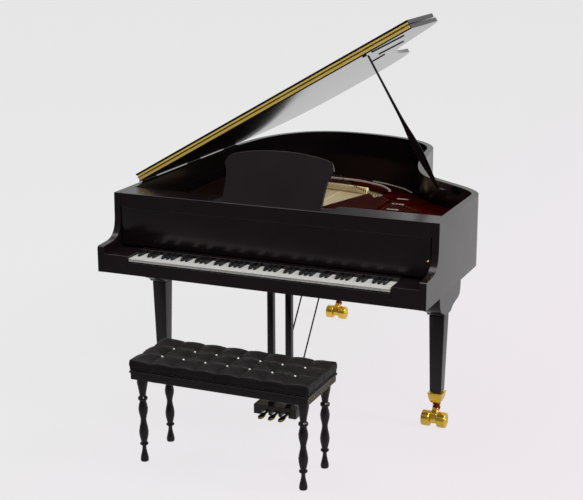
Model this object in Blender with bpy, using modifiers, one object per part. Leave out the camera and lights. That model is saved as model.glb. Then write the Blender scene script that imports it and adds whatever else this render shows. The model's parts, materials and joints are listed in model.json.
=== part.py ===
"""Miniature grand piano at one-twelfth scale, with its matching bench.

Units are metres, +Z is up and the floor is z = 0. The design is drawn from the middle of the
keyboard: x = 0 is the keyboard's centre, with the treble at +X, and y = 0 is the front of the
arms, with the tail at +Y. One root empty then moves the whole piano so that the middle of its
footprint is the world's origin. The lid is modelled open on its prop, as the object stands.
"""

import math

import bmesh
import bpy
from mathutils import Matrix, Vector

MM = 0.001
GAP = 0.3 * MM
ORIGIN_X = -0.534 * MM
ORIGIN_Y = 65.9 * MM

# Case: half width, levels above the floor, wall and the front edges
HALF_WIDTH = 63.8 * MM
CASE_BOTTOM = 55.5 * MM
RIM_TOP = 82.93 * MM
WALL = 2.6 * MM
ARM_NOSE_TOP = 65.4 * MM
RAIL_FRONT = 13.4 * MM
RAIL_REAR = 24.2 * MM
RAIL_BOTTOM = 70.0 * MM
INNER_HALF = HALF_WIDTH - WALL - GAP

# Keyboard
WHITE_KEYS = 52
KEY_PITCH = 23.5 / 12 * MM
WHITE_TOP = 61.73 * MM
WHITE_BOTTOM = 60.6 * MM
BLACK_TOP = 62.8 * MM
KEY_FRONT = 0.2 * MM
KEY_REAR = 12.9 * MM
BED_TOP = 58.2 * MM
KEYBED_REAR = 30 * MM
SLIP_TOP = 60.3 * MM
BLOCK_TOP = 62.6 * MM
KEYBOARD_HALF = WHITE_KEYS * KEY_PITCH / 2

# Fallboard
FALLBOARD_TOP = 77.5 * MM
FALLBOARD_THICK = 1.2 * MM
FALLBOARD_AXIS = Vector((0, RAIL_FRONT + FALLBOARD_THICK / 2, 63.8 * MM))
KNOB_X = 60.0 * MM
KNOB_RADIUS = 0.4 * MM
KNOB_UP = 5.5 * MM

# Inside of the case, from the soundboard up
PIN_BLOCK_BOTTOM = 66.0 * MM
PIN_BLOCK_REAR = 44.0 * MM
SOUNDBOARD_THICK = 1.0 * MM
SOUNDBOARD_TOP = 70.4 * MM
PLATE_BOTTOM = 71.5 * MM
PLATE_TOP = 73.0 * MM
STRINGS_BOTTOM = 73.4 * MM
STRINGS_TOP = 73.6 * MM

# Lid: hinge line along the straight bass side, and the angle that it stands open
LID_HINGE_X = -63.3 * MM
LID_HINGE_Z = 83.2 * MM
LID_OPEN = math.radians(29.97)
LID_THICK = 1.55 * MM
LID_FRONT = 31.65 * MM
LID_INSET = 0.7 * MM
FLAP_AXIS_Y = LID_FRONT - GAP / 2
FLAP_AXIS_UP = LID_THICK + GAP / 2
FLAP_DEPTH = 28.8 * MM
LEAF_THICK = 0.25 * MM
LEAF_HEIGHT = 0.75 * MM
SPINE_HINGE_Y = (40 * MM, 78 * MM, 112 * MM)
SPINE_HINGE_HALF = 5 * MM
SPINE_HINGE_RADIUS = 0.75 * MM
SPINE_NOTCH_RADIUS = 1.15 * MM
SPINE_NOTCH_LENGTH = 11 * MM

# Prop stick: its pivot under the lid (along, back, up from the lid's hinge) and its foot
PROP_PIVOT = Vector((107.2 * MM, 33.2 * MM, -0.9 * MM))
PROP_FOOT = Vector((44.4 * MM, 74.3 * MM, 80.9 * MM))
PROP_FOLDED = Vector((-0.40, 0.9165, 0)).normalized()
PROP_SOCKET_TURN = math.radians(-25)

# The stick's half width in millimetres at each share of its length, from pivot to foot
PROP_HALF_WIDTHS = [
    (0.0, 0.35), (0.25, 0.45), (0.45, 0.6), (0.62, 1.35), (0.74, 1.5), (0.84, 1.15), (0.92, 0.7), (1.0, 0.4),
]

# Music desk
DESK_AXIS = Vector((0, 15.0 * MM, 82.2 * MM))
DESK_LEAN = math.radians(29)
DESK_HALF = 21.6 * MM
DESK_HEIGHT = 21.6 * MM
DESK_THICK = 0.8 * MM

# Legs and casters
FRONT_LEG = Vector((57.2 * MM, 37.0 * MM, 0))
TAIL_LEG = Vector((-23.9 * MM, 145.0 * MM, 0))
LEG_TOP = 43.0 * MM
LEG_BOTTOM = 13.1 * MM
LEG_TOP_HALF = 2.9 * MM
LEG_BOTTOM_HALF = 2.2 * MM
WHEEL_RADIUS = 2.9 * MM
CASTER_TRAIL = 2.4 * MM
FERRULE_BOTTOM = 8.9 * MM
FERRULE_TOP_HALF = 2.8 * MM
FERRULE_BOTTOM_HALF = 1.7 * MM

# Pedal lyre
LYRE_FRONT = 17.4 * MM
LYRE_BLOCK_BOTTOM = 50.0 * MM
POST_X = 3.67 * MM
POST_HALF = 1.2 * MM
BOX_BOTTOM = 1.2 * MM
BOX_TOP = 5.0 * MM
BOX_HALF = 8.7 * MM
BOX_REAR = 27.6 * MM
PEDAL_SPACING = 4.1 * MM
PEDAL_PIVOT_Y = 24.5 * MM
PEDAL_Z = 1.7 * MM

# Bench
BENCH_CENTRE = Vector((3.55 * MM, -25.2 * MM, 0))
BENCH_LEG_X = 30.05 * MM
BENCH_LEG_Y = 9.55 * MM
BENCH_HALF_X = 33.2 * MM
BENCH_HALF_Y = 13.0 * MM
SEAT_FRAME_BOTTOM = 30.8 * MM
SEAT_FRAME_TOP = 34.0 * MM
CUSHION_TOP = 38.2 * MM

# The bench's turned leg: its radius in millimetres at each height
BENCH_LEG = [
    (1.9, 30.5), (1.9, 28.6), (1.15, 24.8), (1.1, 24.0), (1.6, 23.6), (1.6, 22.9), (1.1, 22.4), (1.45, 20.8),
    (1.65, 19.4), (1.3, 17.4), (0.95, 15.5), (1.25, 13.4), (1.65, 11.0), (1.35, 8.8), (1.0, 7.2), (1.4, 6.8),
    (1.4, 6.2), (0.75, 5.4), (1.0, 3.6), (1.3, 2.0), (1.25, 0.6), (1.05, 0.0),
]

# The rim's outer outline seen from above, from the bass arm round the tail to the treble arm.
# Each span is a cubic with its two ends and two handles.
RIM_CURVES = [
    [(-63.8, 118), (-63.8, 150), (-50, 170), (-27, 170)],
    [(-27, 170), (-7, 170), (15.5, 163), (20.7, 142.8)],
    [(20.7, 142.8), (22.6, 128), (27.5, 101), (36.5, 89)],
    [(36.5, 89), (43.5, 80), (63.8, 72), (63.8, 60.5)],
]
CURVE_STEPS = 9

BLACK = ((0.012, 0.011, 0.012), 0.08, 0.0)
BRASS = ((0.83, 0.60, 0.20), 0.22, 1.0)
IVORY = ((0.86, 0.85, 0.81), 0.25, 0.0)
EBONY = ((0.02, 0.02, 0.02), 0.3, 0.0)
SPRUCE = ((0.62, 0.50, 0.33), 0.35, 0.0)
BURGUNDY = ((0.20, 0.03, 0.025), 0.2, 0.0)
MAPLE = ((0.45, 0.30, 0.16), 0.45, 0.0)
STEEL = ((0.55, 0.53, 0.50), 0.3, 1.0)
FELT = ((0.05, 0.05, 0.055), 0.9, 0.0)
LEATHER = ((0.02, 0.018, 0.018), 0.4, 0.0)


def clear_scene():
    for obj in list(bpy.data.objects):
        bpy.data.objects.remove(obj, do_unlink=True)
    for collection in list(bpy.data.collections):
        bpy.data.collections.remove(collection)


def make_collection(name):
    collection = bpy.data.collections.new(name)
    bpy.context.scene.collection.children.link(collection)
    return collection


def finish(obj, name, look, parent):
    """Names an object, gives it its own material and puts it in the piano under its parent."""
    obj.name = name
    obj.data.name = name
    colour, roughness, metallic = look
    material = bpy.data.materials.new(name)
    material.use_nodes = True
    shader = material.node_tree.nodes["Principled BSDF"]
    shader.inputs["Base Color"].default_value = (*colour, 1)
    shader.inputs["Roughness"].default_value = roughness
    shader.inputs["Metallic"].default_value = metallic
    obj.data.materials.clear()
    obj.data.materials.append(material)
    PIANO.objects.link(obj)
    obj.parent = parent
    return obj


def empty(name, location, parent, rotation=(0, 0, 0)):
    obj = bpy.data.objects.new(name, None)
    obj.location = location
    obj.rotation_euler = rotation
    obj.empty_display_size = 5 * MM
    obj.parent = parent
    PIANO.objects.link(obj)
    return obj


def box_mesh(low, high):
    """A box's mesh about its own centre, and that centre."""
    low, high = Vector(low), Vector(high)
    bm = bmesh.new()
    bmesh.ops.create_cube(bm, size=1, matrix=Matrix.Diagonal((*(high - low), 1)))
    mesh = bpy.data.meshes.new("box")
    bm.to_mesh(mesh)
    bm.free()
    return mesh, (low + high) / 2


def box(name, look, low, high, parent, bevel=0.0):
    mesh, centre = box_mesh(low, high)
    obj = finish(bpy.data.objects.new(name, mesh), name, look, parent)
    obj.location = centre
    if bevel:
        rounding = obj.modifiers.new("rounding", "BEVEL")
        rounding.width = bevel
        rounding.segments = 2
    return obj


def cylinder_mesh(radius, length, sides=20):
    """A cylinder along its own Z."""
    bm = bmesh.new()
    bmesh.ops.create_cone(bm, cap_ends=True, segments=sides, radius1=radius, radius2=radius, depth=length)
    mesh = bpy.data.meshes.new("cylinder")
    bm.to_mesh(mesh)
    bm.free()
    mesh.shade_smooth()
    mesh.set_sharp_from_angle(angle=math.radians(40))
    return mesh


def rod(name, look, start, end, radius, parent, sides=12):
    """A round bar from one point to another."""
    start, end = Vector(start), Vector(end)
    mesh = cylinder_mesh(radius, (end - start).length, sides)
    obj = finish(bpy.data.objects.new(name, mesh), name, look, parent)
    obj.location = (start + end) / 2
    obj.rotation_euler = (end - start).to_track_quat("Z", "Y").to_euler()
    return obj


def turned(name, look, profile, location, parent, steps=24, rotation=(0, 0, 0)):
    """A profile of (radius, height) points, top to bottom, turned about its own Z."""
    mesh = bpy.data.meshes.new(name)
    edges = [(i, i + 1) for i in range(len(profile) - 1)]
    mesh.from_pydata([(r, 0, z) for r, z in profile], edges, [])
    obj = finish(bpy.data.objects.new(name, mesh), name, look, parent)
    obj.location = location
    obj.rotation_euler = rotation
    screw = obj.modifiers.new("turn", "SCREW")
    screw.steps = steps
    screw.render_steps = steps
    screw.use_merge_vertices = True
    screw.merge_threshold = 0.00001
    return obj


def flat_outline(outlines, thickness):
    """A flat shape with its holes, as a filled 2D curve given a thickness along its own Z."""
    curve = bpy.data.curves.new("outline", "CURVE")
    curve.dimensions = "2D"
    curve.fill_mode = "BOTH"
    curve.extrude = thickness / 2
    for points in outlines:
        spline = curve.splines.new("POLY")
        spline.points.add(len(points) - 1)
        for corner, (x, y) in zip(spline.points, points):
            corner.co = (x, y, 0, 1)
        spline.use_cyclic_u = True
    return curve


def plate(name, look, outlines, low_z, high_z, parent):
    """A level board from its outline seen from above."""
    obj = bpy.data.objects.new(name, flat_outline(outlines, high_z - low_z))
    finish(obj, name, look, parent).location = (0, 0, (low_z + high_z) / 2)
    return obj


def side_profile(name, look, outlines, low_x, high_x, parent):
    """A shape from its outline seen from the side, (y, z) points, given a width along X."""
    obj = bpy.data.objects.new(name, flat_outline(outlines, high_x - low_x))
    finish(obj, name, look, parent).location = ((low_x + high_x) / 2, 0, 0)
    obj.rotation_euler = (math.pi / 2, 0, math.pi / 2)
    return obj


def front_profile(name, look, outlines, low_y, high_y, parent):
    """A shape from its outline seen from the front, (x, z) points, given a depth along Y."""
    obj = bpy.data.objects.new(name, flat_outline(outlines, high_y - low_y))
    finish(obj, name, look, parent).location = (0, (low_y + high_y) / 2, 0)
    obj.rotation_euler = (math.pi / 2, 0, 0)
    return obj


def as_mesh(obj):
    """Turns a curve object into a mesh object with welded caps, so that it can be cut."""
    bpy.context.view_layer.update()
    mesh = bpy.data.meshes.new_from_object(obj.evaluated_get(bpy.context.evaluated_depsgraph_get()))
    bm = bmesh.new()
    bm.from_mesh(mesh)
    bmesh.ops.remove_doubles(bm, verts=bm.verts, dist=0.000001)
    bmesh.ops.recalc_face_normals(bm, faces=bm.faces)
    bm.to_mesh(mesh)
    bm.free()
    solid = bpy.data.objects.new(obj.name, mesh)
    solid.matrix_world = obj.matrix_world
    name, parent, place = obj.name, obj.parent, obj.matrix_local.copy()
    bpy.data.objects.remove(obj, do_unlink=True)
    solid.name = name
    PIANO.objects.link(solid)
    solid.parent = parent
    solid.matrix_local = place
    return solid


def cutter(name, mesh, location, rotation=(0, 0, 0), parent=None):
    obj = bpy.data.objects.new(name, mesh)
    CUTTERS.objects.link(obj)
    obj.location = location
    obj.rotation_euler = rotation
    obj.parent = parent
    obj.hide_render = True
    obj.display_type = "WIRE"
    return obj


def combine(obj, other, operation):
    boolean = obj.modifiers.new(operation.lower(), "BOOLEAN")
    boolean.operation = operation
    boolean.solver = "EXACT"
    boolean.object = other


def cubic(a, b, c, d, steps):
    """Points along a cubic from a towards d, leaving d out."""
    points = []
    for i in range(steps):
        t = i / steps
        s = 1 - t
        weights = (s**3, 3 * s * s * t, 3 * s * t * t, t**3)
        points.append(tuple(sum(w * p[k] for w, p in zip(weights, (a, b, c, d))) for k in (0, 1)))
    return points


def rim_outer(front_y=0.0, steps=CURVE_STEPS):
    """The rim's outer outline, from the bass side's front end to the treble side's."""
    points = [(-HALF_WIDTH, front_y)]
    for span in RIM_CURVES:
        points += cubic(*[(x * MM, y * MM) for x, y in span], steps)
    return points + [(HALF_WIDTH, RIM_CURVES[-1][-1][1] * MM), (HALF_WIDTH, front_y)]


def offset_path(points, distance):
    """An open path moved sideways, to its right as it runs, by one distance."""
    moved = []
    for i, point in enumerate(points):
        here = Vector(point)
        before = Vector(points[max(i - 1, 0)])
        after = Vector(points[min(i + 1, len(points) - 1)])
        first = (here - before).normalized() if i else (after - here).normalized()
        second = (after - here).normalized() if i < len(points) - 1 else first
        middle = (first + second).normalized()
        side = Vector((middle.y, -middle.x))
        stretch = 1 / max(middle.dot(first), 0.5)
        moved.append(tuple(here + side * distance * stretch))
    return moved


def inside_outline(front_y, clearance=GAP):
    """The closed outline of a board that fills the case from one depth back to the tail."""
    return offset_path(rim_outer(front_y), WALL + clearance)


def arm_top_profile():
    """The (y, z) line along the top of an arm, from its nose up to the rim's top."""
    nose = cubic((0, 64.2), (0, 65.0), (0.4, 65.4), (1.2, 65.4), 4)
    sweep = cubic((6.4, 65.7), (10.6, 66.0), (12.9, 68.2), (13.2, 73.5), 7)
    return [(y * MM, z * MM) for y, z in nose + [(1.2, 65.4)] + sweep + [(13.2, 73.5), (13.4, 84.0)]]


def make_rim(root):
    outer = rim_outer()
    inner = offset_path(outer, WALL)
    rim = as_mesh(plate("rim", BLACK, [outer + inner[::-1]], CASE_BOTTOM, RIM_TOP, root))
    above_arms = arm_top_profile() + [(-2 * MM, 84 * MM), (-2 * MM, 64.2 * MM)]
    shape = flat_outline([above_arms], 2.2 * HALF_WIDTH)
    arm_shape = bpy.data.objects.new("above_arms", shape)
    PIANO.objects.link(arm_shape)
    arm_shape.rotation_euler = (math.pi / 2, 0, math.pi / 2)
    solid = as_mesh(arm_shape)
    above = cutter("above_arms_cutter", solid.data, (0, 0, 0), (math.pi / 2, 0, math.pi / 2), root)
    bpy.data.objects.remove(solid, do_unlink=True)
    combine(rim, above, "DIFFERENCE")
    pin_length = 2 * (INNER_HALF + 1.7 * MM)
    pins = cylinder_mesh(0.65 * MM, pin_length, 16)
    holes = cutter("fallboard_pin_holes", pins, FALLBOARD_AXIS, (0, math.pi / 2, 0), root)
    combine(rim, holes, "DIFFERENCE")
    for i, y in enumerate(SPINE_HINGE_Y):
        hinge_room = cylinder_mesh(SPINE_NOTCH_RADIUS, SPINE_NOTCH_LENGTH, 16)
        place = (LID_HINGE_X, y, LID_HINGE_Z)
        notch = cutter(f"spine_notch_{i}", hinge_room, place, (math.pi / 2, 0, 0), root)
        combine(rim, notch, "DIFFERENCE")
    return rim


def make_spine_hinges(root):
    """Barrels of the hinges on the bass side, each flattened where its leaf would leave it."""
    flat_side = 0.55
    barrel = []
    for k in range(17):
        angle = math.pi + flat_side - k * (2 * math.pi - 2 * flat_side) / 16
        x = LID_HINGE_X + SPINE_HINGE_RADIUS * math.cos(angle)
        z = LID_HINGE_Z + SPINE_HINGE_RADIUS * math.sin(angle)
        barrel.append((x, z))
    for i, y in enumerate(SPINE_HINGE_Y):
        name = f"spine_hinge_{i + 1}"
        front_profile(name, BLACK, [barrel], y - SPINE_HINGE_HALF, y + SPINE_HINGE_HALF, root)


def make_case(root):
    make_rim(root)
    box("keybed", BLACK, (-INNER_HALF, 0, CASE_BOTTOM), (INNER_HALF, KEYBED_REAR, BED_TOP), root)
    above_bed = BED_TOP + GAP
    slip_half = KEYBOARD_HALF + GAP / 2
    box("key_slip", BLACK, (-slip_half, 0, above_bed), (slip_half, 1.2 * MM, SLIP_TOP), root)
    box("key_frame", MAPLE, (-slip_half, 1.5 * MM, above_bed), (slip_half, KEY_REAR, SLIP_TOP), root)
    for side, name in ((-1, "key_block_left"), (1, "key_block_right")):
        ends = sorted((side * (slip_half + GAP), side * INNER_HALF))
        block = box(name, BLACK, (ends[0], 0, above_bed), (ends[1], KEY_REAR - GAP, BLOCK_TOP), root)
        if side > 0:
            room = cylinder_mesh(1.0 * MM, 3 * MM, 16)
            place = (KNOB_X, FALLBOARD_AXIS.y - KNOB_UP, BLOCK_TOP)
            combine(block, cutter("knob_room", room, place, parent=root), "DIFFERENCE")
    behind_fallboard = RAIL_FRONT + FALLBOARD_THICK + GAP
    outline = [
        (RAIL_FRONT, FALLBOARD_TOP + GAP),
        (RAIL_FRONT, RIM_TOP),
        (RAIL_REAR, RIM_TOP),
        (RAIL_REAR, RAIL_BOTTOM),
        (behind_fallboard, RAIL_BOTTOM),
        (behind_fallboard, FALLBOARD_TOP + GAP),
    ]
    rail = as_mesh(side_profile("front_rail", BLACK, [outline], -INNER_HALF, INNER_HALF, root))
    pocket, centre = box_mesh(
        (-DESK_HALF - 1.2 * MM, DESK_AXIS.y - 0.75 * MM, DESK_AXIS.z - DESK_THICK / 2 - GAP),
        (DESK_HALF + 1.2 * MM, RAIL_REAR + 1 * MM, RIM_TOP + 1 * MM),
    )
    combine(rail, cutter("desk_pocket", pocket, centre, parent=root), "DIFFERENCE")
    low = (-INNER_HALF, RAIL_REAR + GAP, PIN_BLOCK_BOTTOM)
    box("pin_block", MAPLE, low, (INNER_HALF, PIN_BLOCK_REAR, PLATE_BOTTOM - GAP), root)


def string_opening():
    """The iron plate's opening over the bridge, in millimetres."""
    points = cubic((-13, 54), (-6, 55), (-2, 57), (1, 61), 3)
    points += [(1, 61), (10, 92), (14.5, 84.5), (16.2, 88)]
    points += cubic((16.4, 96.5), (10, 103), (-2, 109), (-14, 110), 6)
    points += cubic((-14, 110), (-28, 112), (-40, 110), (-46, 101), 5)
    return points + [(-47, 96), (-38, 62), (-34, 54)]


def make_inside(root):
    board = inside_outline(PIN_BLOCK_REAR + GAP)
    plate("soundboard", SPRUCE, [board], SOUNDBOARD_TOP - SOUNDBOARD_THICK, SOUNDBOARD_TOP, root)
    opening = [(x * MM, y * MM) for x, y in string_opening()]
    outline = inside_outline(RAIL_REAR + GAP)
    plate("iron_plate", BURGUNDY, [outline, opening], PLATE_BOTTOM, PLATE_TOP, root)
    bridge_line = cubic((-43, 98), (-32, 103), (-12, 104.5), (8, 97.5), 10)
    near = [(x * MM, y * MM) for x, y in bridge_line]
    far = offset_path(near, -2.0 * MM)
    plate("bridge", MAPLE, [near + far[::-1]], SOUNDBOARD_TOP + GAP, STRINGS_BOTTOM - GAP, root)
    make_strings(root)
    beams = (("beam_bass", (-36, 46), (-30, 150)), ("beam_treble", (18, 46), (0, 148)))
    for name, near_end, far_end in beams:
        start = Vector((near_end[0] * MM, near_end[1] * MM, 66 * MM))
        end = Vector((far_end[0] * MM, far_end[1] * MM, 66 * MM))
        half_length = (end - start).length / 2
        mesh, _ = box_mesh((-2 * MM, -half_length, -3 * MM), (2 * MM, half_length, 3 * MM))
        beam = finish(bpy.data.objects.new(name, mesh), name, MAPLE, root)
        beam.location = (start + end) / 2
        beam.rotation_euler.z = (end - start).to_2d().angle_signed(Vector((0, 1)))
    low = (-54 * MM, 47 * MM, STRINGS_TOP + GAP)
    box("damper_rail", FELT, low, (30 * MM, 48.6 * MM, 75.4 * MM), root)


def string_end(x):
    """How far back a string at this x runs: the bass is the longest, and the treble follows the bend."""
    if x < -12 * MM:
        return 116 * MM
    return (116 - 62 * ((x / MM + 12) / 66) ** 0.8) * MM


def make_strings(root):
    """The strings as one comb: a bar over the pin block, and a tooth for each course of strings."""
    pitch = 2.6 * MM
    half_wire = 0.16 * MM
    count = 40
    first = -pitch * (count - 1) / 2
    outline = [(first - 1 * MM, 42 * MM), (-first + 1 * MM, 42 * MM), (-first + 1 * MM, 43.2 * MM)]
    for i in reversed(range(count)):
        x = first + i * pitch
        end = string_end(x)
        outline += [(x + half_wire, 43.2 * MM), (x + half_wire, end)]
        outline += [(x - half_wire, end), (x - half_wire, 43.2 * MM)]
    outline.append((first - 1 * MM, 43.2 * MM))
    plate("strings", STEEL, [outline], STRINGS_BOTTOM, STRINGS_TOP, root)


def white_key_left(i):
    return -KEYBOARD_HALF + i * KEY_PITCH


def make_keys(root):
    """The keys are one moulding of each colour: a comb whose teeth are the keys."""
    slot = 0.08 * MM
    slot_end = KEY_REAR - 1.2 * MM
    outline = [(-KEYBOARD_HALF + slot, KEY_REAR)]
    for i in range(WHITE_KEYS):
        left, right = white_key_left(i) + slot, white_key_left(i + 1) - slot
        outline += [(left, KEY_FRONT), (right, KEY_FRONT)]
        if i < WHITE_KEYS - 1:
            outline += [(right, slot_end), (right + 2 * slot, slot_end)]
    outline.append((KEYBOARD_HALF - slot, KEY_REAR))
    plate("white_keys", IVORY, [outline], WHITE_BOTTOM, WHITE_TOP, root)

    half = 0.48 * KEY_PITCH / 2 + 0.09 * MM
    front, rail_front = 4.5 * MM, KEY_REAR - 0.7 * MM
    outline = [(-KEYBOARD_HALF + slot, KEY_REAR), (-KEYBOARD_HALF + slot, rail_front)]
    for i in range(WHITE_KEYS - 1):
        note = "ABCDEFG"[i % 7]
        if note in "BE":
            continue
        middle = white_key_left(i + 1)
        outline += [(middle - half, rail_front), (middle - half, front)]
        outline += [(middle + half, front), (middle + half, rail_front)]
    outline += [(KEYBOARD_HALF - slot, rail_front), (KEYBOARD_HALF - slot, KEY_REAR)]
    plate("black_keys", EBONY, [outline], WHITE_TOP + GAP, BLACK_TOP, root)


def make_fallboard(root):
    """The fallboard stands open behind the keys and turns forward over them on two end pins."""
    pivot = empty("fallboard_pivot", FALLBOARD_AXIS, root)
    half = INNER_HALF - 0.2 * MM
    low = (-half, -FALLBOARD_THICK / 2, -0.55 * MM)
    high = (half, FALLBOARD_THICK / 2, FALLBOARD_TOP - FALLBOARD_AXIS.z)
    board = box("fallboard", BLACK, low, high, pivot)
    pins = cylinder_mesh(0.35 * MM, 2 * (INNER_HALF + 1.2 * MM), 12)
    combine(board, cutter("fallboard_pins", pins, (0, 0, 0), (0, math.pi / 2, 0), pivot), "UNION")
    front = -FALLBOARD_THICK / 2 - GAP
    back_end, front_end = (KNOB_X, front, KNOB_UP), (KNOB_X, front - 0.8 * MM, KNOB_UP)
    rod("fallboard_knob", BRASS, back_end, front_end, KNOB_RADIUS, pivot, 16)


def desk_outline():
    """Half of the desk's outline, up its treble edge to the top's middle, then mirrored."""
    half = DESK_HALF / MM
    top = DESK_HEIGHT / MM
    side = [(half - 2.0, -0.4), (half - 2.0, 4.0)]
    side += cubic((half - 1.9, 7), (half - 1.7, 11.5), (half - 1.2, 13.5), (half, 15.4), 4)
    side += cubic((half, 15.4), (half - 0.4, 17.6), (half - 1.4, 18.8), (half - 2.4, 19.2), 4)
    side += cubic((half - 2.4, 19.2), (half - 7, 20.6), (half - 14, top), (0, top), 8)
    right = [(x * MM, z * MM) for x, z in side] + [(0, top * MM)]
    left = [(-x, z) for x, z in right[-2::-1]]
    return right + left


def make_desk(root):
    """The music desk leans back on its hinge line and folds back flat into the rail's pocket."""
    pivot = empty("music_desk_pivot", DESK_AXIS, root, (-DESK_LEAN, 0, 0))
    front_profile("music_desk", BLACK, [desk_outline()], -DESK_THICK / 2, DESK_THICK / 2, pivot)


def lid_outline():
    """The lid seen from above when closed, from its hinge line: just inside the rim's outer face."""
    outer = offset_path(rim_outer(), LID_INSET)
    spine = 0.15 * MM
    points = [(spine, LID_FRONT)]
    for x, y in outer[1:-1]:
        points.append((max(x - LID_HINGE_X, spine), y))
    return points + [(outer[-1][0] - LID_HINGE_X, LID_FRONT)]


def make_lid(root):
    lid = empty("lid_pivot", (LID_HINGE_X, 0, LID_HINGE_Z), root, (0, -LID_OPEN, 0))
    board = as_mesh(plate("lid_main", BLACK, [lid_outline()], 0, LID_THICK, lid))
    for i, y in enumerate(SPINE_HINGE_Y):
        room = cylinder_mesh(SPINE_NOTCH_RADIUS, SPINE_NOTCH_LENGTH, 16)
        notch = cutter(f"lid_notch_{i}", room, (0, y, 0), (math.pi / 2, 0, 0), lid)
        combine(board, notch, "DIFFERENCE")
    right = HALF_WIDTH - LID_INSET - LID_HINGE_X
    leaf_low = 0.5 * MM
    rebate_back = LEAF_THICK + GAP
    low = (-1 * MM, LID_FRONT - 1 * MM, leaf_low - 0.1 * MM)
    rebate, centre = box_mesh(low, (right + 1 * MM, LID_FRONT + rebate_back, 3 * MM))
    combine(board, cutter("lid_leaf_rebate", rebate, centre, parent=lid), "DIFFERENCE")
    low = (0.6 * MM, LID_FRONT, leaf_low)
    high = (right - 0.3 * MM, LID_FRONT + LEAF_THICK, LID_THICK - 0.05 * MM)
    box("lid_hinge_leaf", BRASS, low, high, lid)

    flap = empty("lid_flap_pivot", (0, FLAP_AXIS_Y, FLAP_AXIS_UP), lid)
    near, far = GAP / 2, GAP / 2 + FLAP_DEPTH
    under, over = GAP / 2, GAP / 2 + LID_THICK
    front_lid = box("lid_flap", BLACK, (0.15 * MM, near, under), (right, far, over), flap)
    low = (-1 * MM, -1 * MM, -1 * MM)
    rebate, centre = box_mesh(low, (right + 1 * MM, near + rebate_back, under + 0.9 * MM))
    combine(front_lid, cutter("flap_leaf_rebate", rebate, centre, parent=flap), "DIFFERENCE")
    leaf_low = under + 0.05 * MM
    high = (right - 0.3 * MM, near + LEAF_THICK, leaf_low + LEAF_HEIGHT)
    box("flap_hinge_leaf", BRASS, (0.6 * MM, near, leaf_low), high, flap)
    make_prop(root, lid)


def make_prop(root, lid):
    """The prop stick is hinged under the lid, stands in a socket on the bend and folds up flat."""
    to_world = Matrix.Translation((LID_HINGE_X, 0, LID_HINGE_Z)) @ Matrix.Rotation(-LID_OPEN, 4, "Y")
    foot = to_world.inverted() @ PROP_FOOT
    along = foot - PROP_PIVOT
    length = along.length
    along.normalize()
    axis = along.cross(PROP_FOLDED).normalized()
    fold = along.angle(PROP_FOLDED)
    up = Vector((0, 0, 1))
    folded = Matrix((PROP_FOLDED, up.cross(PROP_FOLDED), up)).transposed()
    turned_back = Matrix.Rotation(-fold, 3, axis) @ folded
    pivot = empty("prop_pivot", PROP_PIVOT, lid)
    pivot.rotation_euler = turned_back.to_euler()
    one = [(t * length, w * MM) for t, w in PROP_HALF_WIDTHS]
    outline = one + [(x, -w) for x, w in reversed(one)]
    stick = bpy.data.objects.new("prop_stick", flat_outline([outline], 0.7 * MM))
    finish(stick, "prop_stick", BLACK, pivot)
    stick.location = (0, 0, 0)
    low = (PROP_PIVOT.x - 3.2 * MM, 32.4 * MM, -1.3 * MM)
    box("prop_hinge_block", BLACK, low, (PROP_PIVOT.x - 1.2 * MM, 34.4 * MM, -GAP), lid)
    bracket = empty("prop_socket_place", PROP_FOOT, root, (0, 0, PROP_SOCKET_TURN))
    box("prop_socket", BLACK, (0.9 * MM, -1.1 * MM, -2.3 * MM), (3.4 * MM, 1.1 * MM, 0.5 * MM), bracket)


def leg_block_outline(y, front, back):
    """The side view of the block on top of a leg: flat on top, curved in to the leg below."""
    top = CASE_BOTTOM - GAP
    low = LEG_TOP + GAP
    half = 3.6 * MM
    return [
        (y - front, top),
        (y - front + 1.2 * MM, low + 3.0 * MM),
        (y - half - 1.2 * MM, low + 1.5 * MM),
        (y - half, low),
        (y + half, low),
        (y + half + 2.4 * MM, low + 1.2 * MM),
        (y + back - 5.5 * MM, low + 2.4 * MM),
        (y + back - 2.0 * MM, low + 2.9 * MM),
        (y + back - 0.7 * MM, low + 4.4 * MM),
        (y + back, low + 8.5 * MM),
        (y + back, top),
    ]


def square_taper(name, look, top_half, bottom_half, low_z, high_z, place, parent):
    """An upright square bar whose width changes evenly from its bottom to its top."""
    bm = bmesh.new()
    corner = math.sqrt(2)
    bmesh.ops.create_cone(bm, cap_ends=True, segments=4, radius1=bottom_half * corner,
                          radius2=top_half * corner, depth=high_z - low_z,
                          matrix=Matrix.Rotation(math.pi / 4, 4, "Z"))
    mesh = bpy.data.meshes.new(name)
    bm.to_mesh(mesh)
    bm.free()
    obj = finish(bpy.data.objects.new(name, mesh), name, look, parent)
    obj.location = (place.x, place.y, (low_z + high_z) / 2)
    return obj


def make_leg(name, place, front, back, root):
    side_profile(f"leg_block_{name}", BLACK, [leg_block_outline(place.y, front, back)],
                 place.x - 3.4 * MM, place.x + 3.4 * MM, root)
    square_taper(f"leg_{name}", BLACK, LEG_TOP_HALF, LEG_BOTTOM_HALF, LEG_BOTTOM, LEG_TOP, place, root)
    make_caster(name, place, root)


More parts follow.
